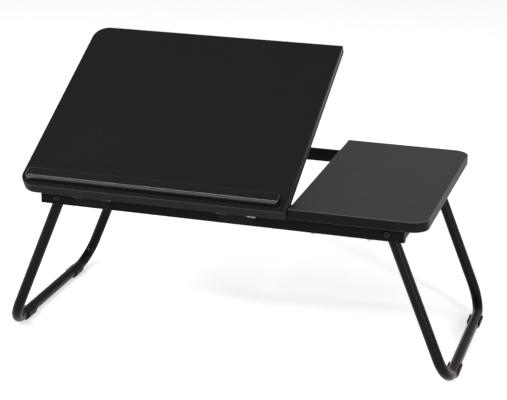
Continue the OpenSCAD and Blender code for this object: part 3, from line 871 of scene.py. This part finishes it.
@dataclass
class Boards:
    """The tilting main board and the fixed side board."""

    layout: Layout
    corner_r: float = 24 * MM
    arris: float = 1.1 * MM
    pocket_depth: float = 1.25 * MM
    pocket_reach: float = 19.2 * MM

    def slab(self, name: str, low: Vector, high: Vector, rounded: float) -> Workpiece:
        """Makes a board whose two corners at x = rounded are round, with rounded arrises and a band."""
        work = Workpiece(name)
        work.block(low, high)
        corners = [e for e in work.edges_along((0, 0, 1)) if abs(e.verts[0].co.x - rounded) < 1e-6]
        for face in work.round_edges(corners, self.corner_r, 14):
            face[work.arris] = 0.0
        work.face_outwards()
        flat = work.faces_towards((0, 0, 1)) + work.faces_towards((0, 0, -1))
        work.paint([f for f in work.bm.faces if f not in flat], 1)
        split = [f for f in work.faces_towards((1 if rounded < 0 else -1, 0, 0)) if f.calc_area() > 1e-3]
        work.paint(split, 2)
        rims = {e for f in flat for e in f.edges}
        work.round_edges(rims, self.arris, 3)
        return work

    def pocket(self, work: Workpiece, low: Vector, high: Vector) -> None:
        """Sinks a hinge pocket into a level board's underside, between two corners."""
        under = work.faces_towards((0, 0, -1), 0.9999)
        for place, normal in (
            ((low.x, 0, 0), (1, 0, 0)),
            ((high.x, 0, 0), (1, 0, 0)),
            ((0, low.y, 0), (0, 1, 0)),
            ((0, high.y, 0), (0, 1, 0)),
        ):
            geom = under + list({e for f in under for e in f.edges}) + list({v for f in under for v in f.verts})
            bmesh.ops.bisect_plane(work.bm, geom=geom, dist=1e-7, plane_co=place, plane_no=normal)
            under = work.faces_towards((0, 0, -1), 0.9999)
        inside = [
            f
            for f in under
            if low.x < f.calc_center_median().x < high.x and low.y < f.calc_center_median().y < high.y
        ]
        made = bmesh.ops.extrude_face_region(work.bm, geom=inside)["geom"]
        verts = verts_among(made)
        bmesh.ops.translate(work.bm, vec=(0, 0, self.pocket_depth), verts=verts)
        bmesh.ops.delete(work.bm, geom=inside, context="FACES_ONLY")

    def make_main(self) -> bpy.types.Object:
        """Makes the tilting board."""
        lay = self.layout
        low_x, high_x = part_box("main_board")[0].x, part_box("main_board")[1].x
        front = lay.front - lay.hinge.y
        depth = lay.back - lay.front
        low, high = Vector((low_x, front, lay.lift)), Vector((high_x, front + depth, lay.lift + lay.board_t))
        work = self.slab("main_board_panel", low, high, low_x)
        for node in ("left_hinge_board_leaf", "right_hinge_board_leaf"):
            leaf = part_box(node)
            self.pocket(
                work,
                Vector((leaf[0].x - 0.3 * MM, -0.3 * MM, 0)),
                Vector((leaf[1].x + 0.3 * MM, self.pocket_reach, 0)),
            )
        work.move(lay.board_place())
        cut = CutBoardEdge(
            "main_board_cut_edge",
            "main_laminate",
            tilt=lay.tilt,
            middle=lay.lift + lay.board_t / 2,
            pivot_y=lay.hinge.y,
            pivot_z=lay.hinge.z,
        )
        return work.done([GRAIN, MAIN_BAND, cut], "reading_board", ["main_board"])

    def make_side(self) -> bpy.types.Object:
        """Makes the fixed board."""
        low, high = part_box("side_board")
        work = self.slab("side_board_panel", low, high, high.x)
        cut = CutBoardEdge("side_board_cut_edge", "side_laminate", middle=(low.z + high.z) / 2)
        return work.done([CHARCOAL, SIDE_BAND, cut], "frame", ["side_board"])


@dataclass
class Ledge:
    """The moulding that holds a book at the main board's lower edge."""

    layout: Layout
    inset: float = 8.4 * MM
    width: float = 18 * MM
    height: float = 12.5 * MM
    edge_r: float = 2.9 * MM
    end_r: float = 4.5 * MM
    screw_in: float = 20 * MM

    def make(self) -> bpy.types.Object:
        """Makes the moulding."""
        lay = self.layout
        low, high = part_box("book_ledge")
        front = lay.front - lay.hinge.y + self.inset
        foot = lay.lift + lay.board_t
        work = Workpiece("book_ledge_moulding")
        work.block((low.x, front, foot), (high.x, front + self.width, foot + self.height))
        work.round_edges(work.edges_along((0, 0, 1)), self.end_r, 8)
        top = work.faces_towards((0, 0, 1))
        work.round_edges({e for f in top for e in f.edges}, self.edge_r, 6)
        work.face_outwards()
        for face in work.bm.faces:
            face[work.arris] = 0.0
        work.move(lay.board_place())
        return work.done([LACQUER], "reading_board", ["book_ledge"])

    def make_screws(self) -> bpy.types.Object:
        """Makes the three screws that come up through the board."""
        lay = self.layout
        low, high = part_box("book_ledge")
        y = lay.front - lay.hinge.y + self.inset + self.width / 2
        screw = Screw(2 * MM, 4 * MM, 2 * MM, lay.board_t + 8 * MM, head=Head.COUNTERSUNK).make()
        middle, reach = (low.x + high.x) / 2, (high.x - low.x) / 2 - self.screw_in
        work = Workpiece("ledge_wood_screws")
        places = [Matrix.Translation((middle + i * reach, y, lay.lift)) for i in (-1, 0, 1)]
        work.absorb(screw, places)
        work.move(lay.board_place())
        return work.done([ZINC], "reading_board", ["ledge_screws"])


@dataclass
class Frame:
    """The welded tube frame with its plugs, weld beads and side board screws."""

    layout: Layout
    wall: float = 1.2 * MM
    corner: float = 1.7 * MM
    bead_r: float = 1.15 * MM
    plug_crown: float = 0.5 * MM

    def make_rails(self) -> list[bpy.types.Object]:
        """Makes the five rails."""
        along = {"front_rail": "X", "back_rail": "X", "left_end_rail": "Y", "right_end_rail": "Y", "cross_rail": "Y"}
        made = []
        for node, axis in along.items():
            low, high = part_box(node)
            direction = Vector((1, 0, 0)) if axis == "X" else Vector((0, 1, 0))
            work = box_tube(f"{node}_tube", low, high, direction, self.wall, self.corner)
            made.append(work.done([COAT], "frame", [node]))
        return made

    def bead(self, start: Vector, end: Vector) -> Workpiece:
        """Makes one rippled weld bead from start to end."""
        work = Workpiece("bead")
        run = end - start
        count = max(6, int(run.length / (0.9 * MM)))
        ripple = [1.0, 1.12, 1.0, 0.86]
        bender = Bender(work, start, run, self.bead_r * 0.55, 8)
        bender.straight(run.length, count, [r * 1.6 for r in ripple[: 1 + count % 4 or 4]])
        bender.close()
        return work

    def make_welds(self) -> bpy.types.Object:
        """Makes the beads in the inner corners where the end and cross rails meet the long rails."""
        work = Workpiece("weld_beads")
        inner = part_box("front_rail")[1].y
        for node in ("left_end_rail", "right_end_rail", "cross_rail"):
            low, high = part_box(node)
            for x in (low.x, high.x):
                if abs(x) > abs(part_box("front_rail")[0].x) - self.wall:
                    continue
                foot = Vector((x, inner, low.z + 2.2 * MM))
                head = Vector((x, inner, high.z - 2.6 * MM))
                work.absorb(self.bead(foot, head), front_and_back())
            under = low.z + 0.1 * MM
            left = Vector((low.x + 1.8 * MM, inner, under))
            right = Vector((high.x - 1.8 * MM, inner, under))
            work.absorb(self.bead(left, right), front_and_back())
        return work.done([BEAD_COAT], "frame")

    def make_plugs(self) -> bpy.types.Object:
        """Makes the four plugs, each a crowned head on a ribbed tongue."""
        low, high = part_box("rail_plugs")
        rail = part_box("front_rail")
        part = Workpiece("plug")
        part.block((rail[1].x, rail[0].y, rail[0].z), (high.x - self.plug_crown, rail[1].y, rail[1].z))
        part.round_edges(part.edges_along((1, 0, 0)), self.corner, 4)
        outer = part.faces_towards((1, 0, 0))
        bmesh.ops.inset_region(part.bm, faces=outer, thickness=1.6 * MM, depth=self.plug_crown)
        part.round_edges(part.sharp_edges(20), 0.25 * MM, 2)
        wall = self.wall + 0.05 * MM
        for i in range(3):
            end = rail[1].x - i * 3 * MM
            part.block(
                (end - 1.6 * MM, rail[0].y + wall, rail[0].z + wall), (end, rail[1].y - wall, rail[1].z - wall)
            )
            part.block(
                (end - 3 * MM, rail[0].y + wall + 1 * MM, rail[0].z + wall + 1 * MM),
                (end - 1.6 * MM, rail[1].y - wall - 1 * MM, rail[1].z - wall - 1 * MM),
            )
        work = Workpiece("rail_end_plugs")
        flip = Matrix.Scale(-1, 4, (1, 0, 0))
        work.absorb(part, [m @ n for m in (Matrix.Identity(4), flip) for n in front_and_back()])
        return work.done([NYLON], "frame", ["rail_plugs"])

    def make_side_screws(self) -> bpy.types.Object:
        """Makes the four pan head screws that hold the side board."""
        low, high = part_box("side_board_screws")
        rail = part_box("front_rail")
        head_r = 3.6 * MM
        screw = Screw(2 * MM, head_r, 2.2 * MM, high.z - low.z).make()
        places = [
            Matrix.Translation((x, y, low.z))
            for x in (low.x + head_r, high.x - head_r)
            for y in ((rail[0].y + rail[1].y) / 2, -(rail[0].y + rail[1].y) / 2)
        ]
        work = Workpiece("side_board_pan_screws")
        work.absorb(screw, places)
        return work.done([ZINC], "frame", ["side_board_screws"])


@dataclass
class Hinges:
    """The two butt hinges with their pins and screws."""

    layout: Layout
    arris: float = 0.18 * MM
    pin_r: float = 1.25 * MM
    pin_head_r: float = 1.9 * MM
    screw_pitch: float = 20 * MM
    screw_y: float = 11.02 * MM

    def make_leaves(self) -> list[bpy.types.Object]:
        """Makes the four leaves."""
        made = []
        for hand in ("left", "right"):
            board = from_cad(f"{hand}_hinge_screwed_leaf", f"{hand}_hinge_board_leaf", self.arris)
            # More bright steel on the right hinge: partly wear, partly a painted highlight.
            finish = HINGE_WORN_AND_HIGHLIT if hand == "right" else HINGE_KEPT
            made.append(board.done([finish], "reading_board", [f"{hand}_hinge_board_leaf"]))
            rail = from_cad(f"{hand}_hinge_welded_leaf", f"{hand}_hinge_frame_leaf", self.arris)
            made.append(rail.done([HINGE_DULL], "frame", [f"{hand}_hinge_frame_leaf"]))
        return made

    def spans(self) -> list[tuple[float, float]]:
        """Returns the low and high x of each hinge."""
        return [
            (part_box(n)[0].x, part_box(n)[1].x) for n in ("left_hinge_board_leaf", "right_hinge_board_leaf")
        ]

    def make_pins(self) -> bpy.types.Object:
        """Makes the two pins with domed heads."""
        work = Workpiece("hinge_pin_rods")
        head, gap = 0.8 * MM, 0.3 * MM
        for low, high in self.spans():
            length = high - low + 2 * (gap + head)
            crown = [(self.pin_head_r * s, head * 0.35 * s * s) for s in (0.0, 0.35, 0.65, 0.9)]
            side = [(self.pin_head_r, head * 0.5), (self.pin_head_r, head), (self.pin_r, head)]
            half = crown + side
            profile = half + [(r, length - h) for r, h in reversed(half)]
            start = Vector((low - gap - head, self.layout.hinge.y, self.layout.hinge.z))
            work.turned(profile, start, Vector((1, 0, 0)), 28)
        return work.done([ZINC], "frame", ["hinge_pins"])

    def make_screws(self) -> bpy.types.Object:
        """Makes the six countersunk screws."""
        screw = Screw(1.5 * MM, 2.7 * MM, 1.2 * MM, 11 * MM, head=Head.COUNTERSUNK, thread_pitch=1 * MM).make()
        places = [
            Matrix.Translation(((low + high) / 2 + i * self.screw_pitch, self.screw_y, self.layout.lift))
            for low, high in self.spans()
            for i in (-1, 0, 1)
        ]
        work = Workpiece("hinge_wood_screws")
        work.absorb(screw, places)
        work.move(self.layout.board_place())
        return work.done([ZINC], "reading_board", ["hinge_screws"])


@dataclass
class TiltSupport:
    """The wire stay and the two notched racks that it slides in."""

    layout: Layout
    wire_r: float = 3 * MM
    bend_r: float = 7 * MM
    clear: float = 15 * MM
    tail: float = 7 * MM

    def make_stay(self) -> bpy.types.Object:
        """Bends the stay from one length of wire."""
        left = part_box("left_end_rail")[1].x + self.clear
        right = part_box("cross_rail")[0].x - self.clear
        pivot = Vector(joint("stay_swing")["pos_m"])
        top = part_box("tilt_stay")[1].z
        length = (top - self.wire_r - pivot.z) / math.sin(2 * self.layout.tilt)
        lift = Vector((0, 0, 1))
        work = Workpiece("tilt_stay_wire")
        bender = Bender(work, Vector((left - self.clear - self.tail, 0, 0)), Vector((1, 0, 0)), self.wire_r, 24)
        arm, quarter = length - 2 * self.bend_r, math.pi / 2
        bender.straight(self.clear + self.tail - self.bend_r).bend(quarter, self.bend_r, lift)
        bender.straight(arm).bend(-quarter, self.bend_r, lift)
        bender.straight(right - left - 2 * self.bend_r, 6).bend(-quarter, self.bend_r, lift)
        bender.straight(arm).bend(quarter, self.bend_r, lift)
        bender.straight(self.clear + self.tail - self.bend_r)
        bender.close(0.6 * MM)
        work.move(self.layout.stay_place())
        return work.done([WIRE], "stay", ["tilt_stay"])

    def make_racks(self) -> list[bpy.types.Object]:
        """Makes the two racks, with their punched edges rounded."""
        made = []
        for hand in ("left", "right"):
            rack = from_cad(f"{hand}_notched_rack", f"{hand}_tilt_rack", 0.25 * MM)
            made.append(rack.done([ZINC_SHEET], "reading_board", [f"{hand}_tilt_rack"]))
        return made

    def make_screws(self) -> bpy.types.Object:
        """Makes the racks' four pan head screws, in the middle of each CAD screw."""
        place = self.layout.board_place()
        back = place.inverted()
        copy = Workpiece("rack_screw_places")
        copy.bm.from_mesh(frame["nodes"]["rack_screws"].data)
        bmesh.ops.remove_doubles(copy.bm, verts=copy.bm.verts, dist=1e-6)
        copy.move(back)
        low_z = min(v.co.z for v in copy.bm.verts)
        high_z = max(v.co.z for v in copy.bm.verts)
        xs = [v.co.x for v in copy.bm.verts]
        ys = [v.co.y for v in copy.bm.verts]
        copy.bm.free()
        head_r = 3 * MM
        screw = Screw(1.5 * MM, head_r, 1.7 * MM, high_z - low_z, thread_pitch=1 * MM).make()
        places = [
            Matrix.Translation((x, y, low_z))
            for x in (min(xs) + head_r, max(xs) - head_r)
            for y in (min(ys) + head_r, max(ys) - head_r)
        ]
        work = Workpiece("rack_pan_screws")
        work.absorb(screw, places)
        work.move(place)
        return work.done([ZINC], "reading_board", ["rack_screws"])


@dataclass
class Leg:
    """One folding leg: the bent tube, its two bushes and its two foot clips. side is -1 at the left."""

    layout: Layout
    side: int
    tube_r: float = 8 * MM
    wall: float = 1.2 * MM
    bend_r: float = 40 * MM
    end_r: float = 7.8 * MM
    bush_len: float = 22 * MM
    foot_len: float = 28 * MM
    foot_t: float = 2 * MM
    foot_wall: float = 2.45 * MM
    foot_ear: float = 3 * MM

    def hand(self) -> str:
        """Returns left or right."""
        return "right" if self.side > 0 else "left"

    def pivot(self) -> Vector:
        """Returns the leg's pivot at mid-depth."""
        return Vector(joint(f"{self.hand()}_leg_fold")["pos_m"])

    def leg_y(self) -> float:
        """Returns the distance of each upright's middle from the middle of the table."""
        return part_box(f"{self.hand()}_leg")[1].y - self.tube_r

    def drop(self) -> float:
        """Returns the leg's length from its pivot to the middle of its foot bar."""
        return (self.pivot().z - self.tube_r - self.foot_t) / math.cos(self.layout.splay)

    def saddle(self, verts: Iterable[BMVert], height: float, reach: float) -> None:
        """Shapes a ring at the tube's end to the round end: height at the middle, falling to 0 at reach."""
        for vert in verts:
            vert.co.z = height * math.sqrt(max(0.0, 1 - (vert.co.x / reach) ** 2))

    def round_end(self, work: Workpiece, ring: list[BMEdge], middle_y: float) -> None:
        """Turns one open end of the tube into a rounded end with a wall and a bore."""
        verts = list({v for e in ring for v in e.verts})
        self.saddle(verts, self.end_r, self.tube_r)
        inner = 1 - self.wall / self.tube_r
        space = Matrix.Translation((0, -middle_y, 0))
        for scale, drop in ((inner, 0.0), (1.0, self.bush_len)):
            geom = bmesh.ops.extrude_edge_only(work.bm, edges=ring)["geom"]
            verts = verts_among(geom)
            fresh = set(verts)
            ring = list({e for v in verts for e in v.link_edges if set(e.verts) <= fresh})
            bmesh.ops.scale(work.bm, vec=(scale, scale, 1), space=space, verts=verts)
            if drop:
                for vert in verts:
                    vert.co.z = -drop
            else:
                self.saddle(verts, self.end_r, self.tube_r)
        bmesh.ops.edgeloop_fill(work.bm, edges=ring)

    def make_tube(self) -> bpy.types.Object:
        """Bends the leg from one length of tube."""
        y, drop = self.leg_y(), self.drop()
        work = Workpiece(f"{self.hand()}_leg_tube")
        across = Vector((1, 0, 0))
        bender = Bender(work, Vector((0, -y, 0)), Vector((0, 0, -1)), self.tube_r, 40)
        upright, quarter = drop - self.bend_r, math.pi / 2
        bender.straight(upright).bend(quarter, self.bend_r, across, 16)
        bender.straight(2 * (y - self.bend_r)).bend(quarter, self.bend_r, across, 16)
        bender.straight(upright)
        self.round_end(work, bender.first_ring, -y)
        self.round_end(work, bender.ring, y)
        work.face_outwards()
        work.move(self.layout.leg_place(self.side))
        coat = RIGHT_COAT if self.side > 0 else LEFT_COAT
        return work.done([coat], f"{self.hand()}_leg", [f"{self.hand()}_leg"])

    def make_bushes(self) -> bpy.types.Object:
        """Makes the two nylon bushes, each with a dished top inside the tube's end."""
        y = self.leg_y()
        radius = self.tube_r - self.wall - 0.05 * MM
        work = Workpiece(f"{self.hand()}_leg_end_bushes")
        for middle in (-y, y):
            bender = Bender(work, Vector((0, middle, 1 * MM - self.bush_len)), Vector((0, 0, 1)), radius, 36)
            bender.straight(self.bush_len - 1 * MM)
            self.saddle(bender.ring_verts(), self.end_r - 0.4 * MM, self.tube_r)
            top = bender.cap(bender.ring)
            bender.cap(bender.first_ring)
            rim = bmesh.ops.inset_region(work.bm, faces=[top], thickness=1.5 * MM, depth=-1.2 * MM)["faces"]
            work.round_edges({e for f in rim for e in f.edges if len(e.link_faces) == 2}, 0.2 * MM, 2)
        work.face_outwards()
        work.move(self.layout.leg_place(self.side))
        return work.done([NYLON], f"{self.hand()}_leg", [f"{self.hand()}_leg_bushes"])

    def make_foot(self, node: str) -> bpy.types.Object:
        """Makes one foot clip: a split ring that grips the bar, with snap lips, a flat sole and side ribs."""
        low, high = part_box(node)
        centre = Vector(((low.x + high.x) / 2, (low.y + high.y) / 2, self.tube_r + self.foot_t))
        inner = self.tube_r + 0.06 * MM
        outer = self.tube_r + 0.05 * MM + self.foot_wall
        start = math.asin(self.foot_ear / outer)
        work = Workpiece(f"{node}_clip")
        ray = Vector((math.cos(start), 0, math.sin(start)))
        pair = [work.bm.verts.new(ray * inner), work.bm.verts.new(ray * outer)]
        line = work.bm.edges.new(pair)
        bmesh.ops.spin(
            work.bm, geom=[*pair, line], cent=(0, 0, 0), axis=(0, 1, 0), angle=math.pi + 2 * start, steps=28
        )
        bmesh.ops.translate(work.bm, vec=(0, -self.foot_len / 2, 0), verts=work.bm.verts)
        made = bmesh.ops.extrude_face_region(work.bm, geom=list(work.bm.faces))["geom"]
        verts = verts_among(made)
        bmesh.ops.translate(work.bm, vec=(0, self.foot_len, 0), verts=verts)
        work.face_outwards()
        floor = -(self.tube_r + self.foot_t)
        for vert in work.bm.verts:
            vert.co.z = max(vert.co.z, floor)
        work.round_edges(work.sharp_edges(38), 0.45 * MM, 3)
        self.add_ribs(work)
        work.move(Matrix.Translation(centre))
        return work.done([NYLON], f"{self.hand()}_leg", [node])

    def add_ribs(self, work: Workpiece) -> None:
        """Adds the moulded ribs that stand on the clip's two sides."""
        outer = self.tube_r + 0.05 * MM + self.foot_wall
        proud = 0.25 * MM
        for i in range(-2, 3):
            for side in (-1, 1):
                rib = Workpiece("rib")
                y = i * self.foot_len / 6
                rib.block((-0.5 * MM, y - 0.7 * MM, -3.2 * MM), (0.0, y + 0.7 * MM, 1.2 * MM))
                rib.round_edges(rib.sharp_edges(), 0.2 * MM, 2)
                lean = Matrix.Rotation(math.radians(side * 24), 4, "Y")
                work.absorb(rib, [lean @ Matrix.Translation((side * outer + proud * (side < 0), 0, 0))])
                rib.bm.free()

    def build(self) -> list[bpy.types.Object]:
        """Makes the whole leg."""
        feet = [self.make_foot(f"{self.hand()}_{end}_foot") for end in ("front", "back")]
        return [self.make_tube(), self.make_bushes(), *feet]


@dataclass
class Pivots:
    """The hardware at the four leg pivots, each drawn along +Y from the rail's outer face."""

    layout: Layout
    rail_w: float = 10 * MM
    bolt_r: float = 3 * MM
    head_r: float = 5.3 * MM
    head_h: float = 3.5 * MM
    washer_r: float = 7.5 * MM
    washer_t: float = 1.2 * MM
    gap: float = 0.3 * MM
    fit: float = 0.05 * MM
    tube_d: float = 16 * MM
    nut_af: float = 10 * MM
    nut_h: float = 5.2 * MM
    bolt_end: float = 1.5 * MM

    def places(self) -> list[Matrix]:
        """Returns the matrix of each pivot."""
        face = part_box("front_rail")[0].y
        made = []
        for hand in ("left", "right"):
            pivot = Vector(joint(f"{hand}_leg_fold")["pos_m"])
            spot = Matrix.Translation((pivot.x, face, pivot.z))
            made += [m @ spot for m in front_and_back()]
        return made

    def scatter(self, name: str, part: Workpiece, finishes: Sequence[Finish], node: str) -> bpy.types.Object:
        """Puts one part at every pivot and makes the piece."""
        work = Workpiece(name)
        work.absorb(part, self.places())
        part.bm.free()
        return work.done(finishes, "frame", [node])

    def ring(self, inner: float, outer: float, start: float, thick: float) -> Workpiece:
        """Makes a washer with rounded rims."""
        work = Workpiece("ring")
        soft = thick * 0.22
        outline = [
            (inner, start),
            (outer - soft, start),
            (outer, start + soft),
            (outer, start + thick - soft),
            (outer - soft, start + thick),
            (inner, start + thick),
            (inner, start),
        ]
        work.turned(outline, Vector(), Vector((0, 1, 0)), 40)
        return work

    def bolt(self) -> Workpiece:
        """Makes a domed bolt with a round neck hidden in the rail and a threaded end."""
        work = Workpiece("bolt")
        dome_r = (self.head_r**2 + self.head_h**2) / (2 * self.head_h)
        half = math.asin(self.head_r / dome_r)
        steps = 9
        dome = []
        for i in range(steps + 1):
            angle = half * i / steps
            dome.append((dome_r * math.sin(angle), -self.head_h + dome_r * (1 - math.cos(angle))))
        dome[-1] = (self.head_r, -0.35 * MM)
        lip = [(self.head_r, -0.12 * MM), (self.head_r - 0.15 * MM, 0.0), (self.bolt_r, 0.0)]
        end = self.rail_w + 2 * self.washer_t + 2 * self.gap + self.tube_d + self.nut_h + self.bolt_end
        thread_from = end - 8 * MM
        shank = [(self.bolt_r, thread_from)]
        pitch = 1 * MM
        for i in range(int((end - thread_from - pitch) / pitch)):
            z = thread_from + i * pitch
            shank += [(self.bolt_r - 0.35 * MM, z + pitch * 0.5), (self.bolt_r, z + pitch)]
        tip = [(self.bolt_r - 0.8 * MM, end), (0.0, end)]
        work.turned(dome + lip + shank + tip, Vector(), Vector((0, 1, 0)), 40)
        zinc_from = self.rail_w
        work.paint([f for f in work.bm.faces if f.calc_center_median().y > zinc_from], 1)
        return work

    def nut(self) -> Workpiece:
        """Makes a lock nut: a chamfered hexagon, a crimped collar and a nylon ring."""
        work = Workpiece("nut")
        base = self.rail_w + 2 * self.gap + self.tube_d + 2 * self.washer_t
        body_h = self.nut_h * 0.72
        across = self.nut_af / math.sqrt(3)
        place = Matrix.Translation((0, base + body_h / 2, 0)) @ Matrix.Rotation(-math.pi / 2, 4, "X")
        bmesh.ops.create_cone(
            work.bm, cap_ends=True, segments=6, radius1=across, radius2=across, depth=body_h, matrix=place
        )
        caps = work.faces_towards((0, 1, 0)) + work.faces_towards((0, -1, 0))
        work.round_edges({e for f in caps for e in f.edges}, 0.45 * MM, 2)
        collar_r = self.nut_af / 2 - 0.4 * MM
        top = base + self.nut_h
        collar = [
            (0.0, base + body_h - 0.1 * MM),
            (collar_r, base + body_h - 0.1 * MM),
            (collar_r, top - 0.7 * MM),
            (collar_r - 0.5 * MM, top),
            (collar_r - 1.0 * MM, top),
            (self.bolt_r + self.fit, top - 0.3 * MM),
            (self.bolt_r + self.fit, base + body_h - 0.1 * MM),
        ]
        faces = work.turned(collar, Vector(), Vector((0, 1, 0)), 36)
        inside = [f for f in faces if f.calc_center_median().y > top - 0.4 * MM]
        work.paint([f for f in inside if max(v.co.xz.length for v in f.verts) < collar_r - 0.6 * MM], 1)
        return work

    def build(self) -> list[bpy.types.Object]:
        """Makes the bolts, spacers, washers and nuts."""
        hole = self.bolt_r + self.fit
        inner_side = self.rail_w + self.washer_t + 2 * self.gap + self.tube_d
        spacer = self.ring(hole, self.washer_r, self.rail_w, self.washer_t)
        washer = self.ring(hole, self.washer_r, inner_side, self.washer_t)
        return [
            self.scatter("pivot_dome_bolts", self.bolt(), [BOLT_LACQUER, ZINC], "pivot_bolts"),
            self.scatter("pivot_spacer_rings", spacer, [ZINC], "pivot_spacers"),
            self.scatter("pivot_plain_washers", washer, [ZINC], "pivot_washers"),
            self.scatter("pivot_lock_nuts", self.nut(), [ZINC, CLEAR_NYLON], "pivot_nuts"),
        ]


# Studio


@dataclass
class Studio:
    """The pale floor, the soft lights and the camera."""

    floor_size: float = 14.0
    floor_tone: float = 0.92
    floor_glow: float = 0.5
    camera_place: tuple[float, float, float] = (0.6469, -2.1354, 0.9587)
    camera_turn: tuple[float, float, float] = (71.195, -0.630, 17.001)
    lens: float = 110.47

    def make_floor(self) -> None:
        """Lays the floor."""
        work = bmesh.new()
        bmesh.ops.create_grid(work, x_segments=2, y_segments=2, size=self.floor_size / 2)
        mesh = bpy.data.meshes.new("studio_floor")
        work.to_mesh(mesh)
        work.free()
        graph = Graph("studio_paper")
        fibre = graph.noise(60, 3)
        colour = graph.shaded((self.floor_tone,) * 3, 0.985, fibre)
        mesh.materials.append(graph.finish(colour, 0.8 + fibre * 0.1, fibre, 0.00002, specular=0.1))
        graph.shader.inputs["Emission Color"].default_value = (1, 1, 1, 1)
        graph.shader.inputs["Emission Strength"].default_value = self.floor_glow
        floor = bpy.data.objects.new("studio_floor", mesh)
        bpy.context.scene.collection.objects.link(floor)

    def make_sky(self) -> None:
        """Lights everything from all round, brighter towards the sides than overhead."""
        world = bpy.data.worlds.new("studio_sky")
        bpy.context.scene.world = world
        world.use_nodes = True
        tree = world.node_tree
        tree.nodes.clear()
        place = tree.nodes.new("ShaderNodeTexCoord").outputs["Generated"]
        split = tree.nodes.new("ShaderNodeSeparateXYZ")
        tree.links.new(place, split.inputs[0])
        ramp = tree.nodes.new("ShaderNodeValToRGB")
        ramp.color_ramp.elements[0].position = 0.25
        ramp.color_ramp.elements[0].color = (1.0, 1.0, 1.0, 1)
        ramp.color_ramp.elements[1].position = 0.95
        ramp.color_ramp.elements[1].color = (0.3, 0.3, 0.32, 1)
        tree.links.new(split.outputs["Z"], ramp.inputs[0])
        back = tree.nodes.new("ShaderNodeBackground")
        back.inputs["Strength"].default_value = 0.6
        tree.links.new(ramp.outputs[0], back.inputs["Color"])
        out = tree.nodes.new("ShaderNodeOutputWorld")
        tree.links.new(back.outputs[0], out.inputs["Surface"])

    def make_light(self, name: str, place: Sequence[float], size: tuple[float, float], power: float) -> None:
        """Hangs one soft light that faces the table."""
        data = bpy.data.lights.new(name, "AREA")
        data.shape = "RECTANGLE"
        data.size, data.size_y = size
        data.energy = power
        light = bpy.data.objects.new(name, data)
        light.location = place
        aim = Vector((0, 0, 0.2)) - Vector(place)
        light.rotation_euler = aim.to_track_quat("-Z", "Y").to_euler()
        bpy.context.scene.collection.objects.link(light)

    def make_camera(self) -> None:
        """Sets up the camera."""
        data = bpy.data.cameras.new("camera")
        data.sensor_width = 36
        data.lens = self.lens
        data.clip_end = 50
        camera = bpy.data.objects.new("camera", data)
        camera.location = self.camera_place
        camera.rotation_euler = [math.radians(a) for a in self.camera_turn]
        bpy.context.scene.collection.objects.link(camera)
        bpy.context.scene.camera = camera

    def build(self) -> None:
        """Makes the whole studio."""
        bpy.context.scene.view_settings.view_transform = "Standard"
        self.make_camera()
        self.make_floor()
        self.make_sky()
        for name, place, size, power in (
            ("key_light", (1.2, -0.4, 2.6), (1.0, 0.8), 6),
            ("front_strip", (-0.7, -1.75, 1.9), (2.6, 0.16), 52),
            ("corner_strip", (2.05, -1.55, 0.75), (0.12, 1.4), 30),
            ("right_strip", (2.3, 0.5, 0.9), (0.3, 1.4), 12),
            ("left_strip", (-2.3, -0.9, 0.7), (0.25, 1.2), 8),
        ):
            self.make_light(name, place, size, power)


def main() -> None:
    """Builds the studio and every assembly, in order."""
    logging.basicConfig(level=logging.INFO, format="%(name)s: %(message)s")
    layout = Layout()
    Studio().build()
    boards = Boards(layout)
    boards.make_main()
    boards.make_side()
    ledge = Ledge(layout)
    ledge.make()
    ledge.make_screws()
    rails = Frame(layout)
    rails.make_rails()
    rails.make_welds()
    rails.make_plugs()
    rails.make_side_screws()
    hinges = Hinges(layout)
    hinges.make_leaves()
    hinges.make_pins()
    hinges.make_screws()
    support = TiltSupport(layout)
    support.make_stay()
    support.make_racks()
    support.make_screws()
    for side in (-1, 1):
        Leg(layout, side).build()
    Pivots(layout).build()


if __name__ == "__main__":
    main()
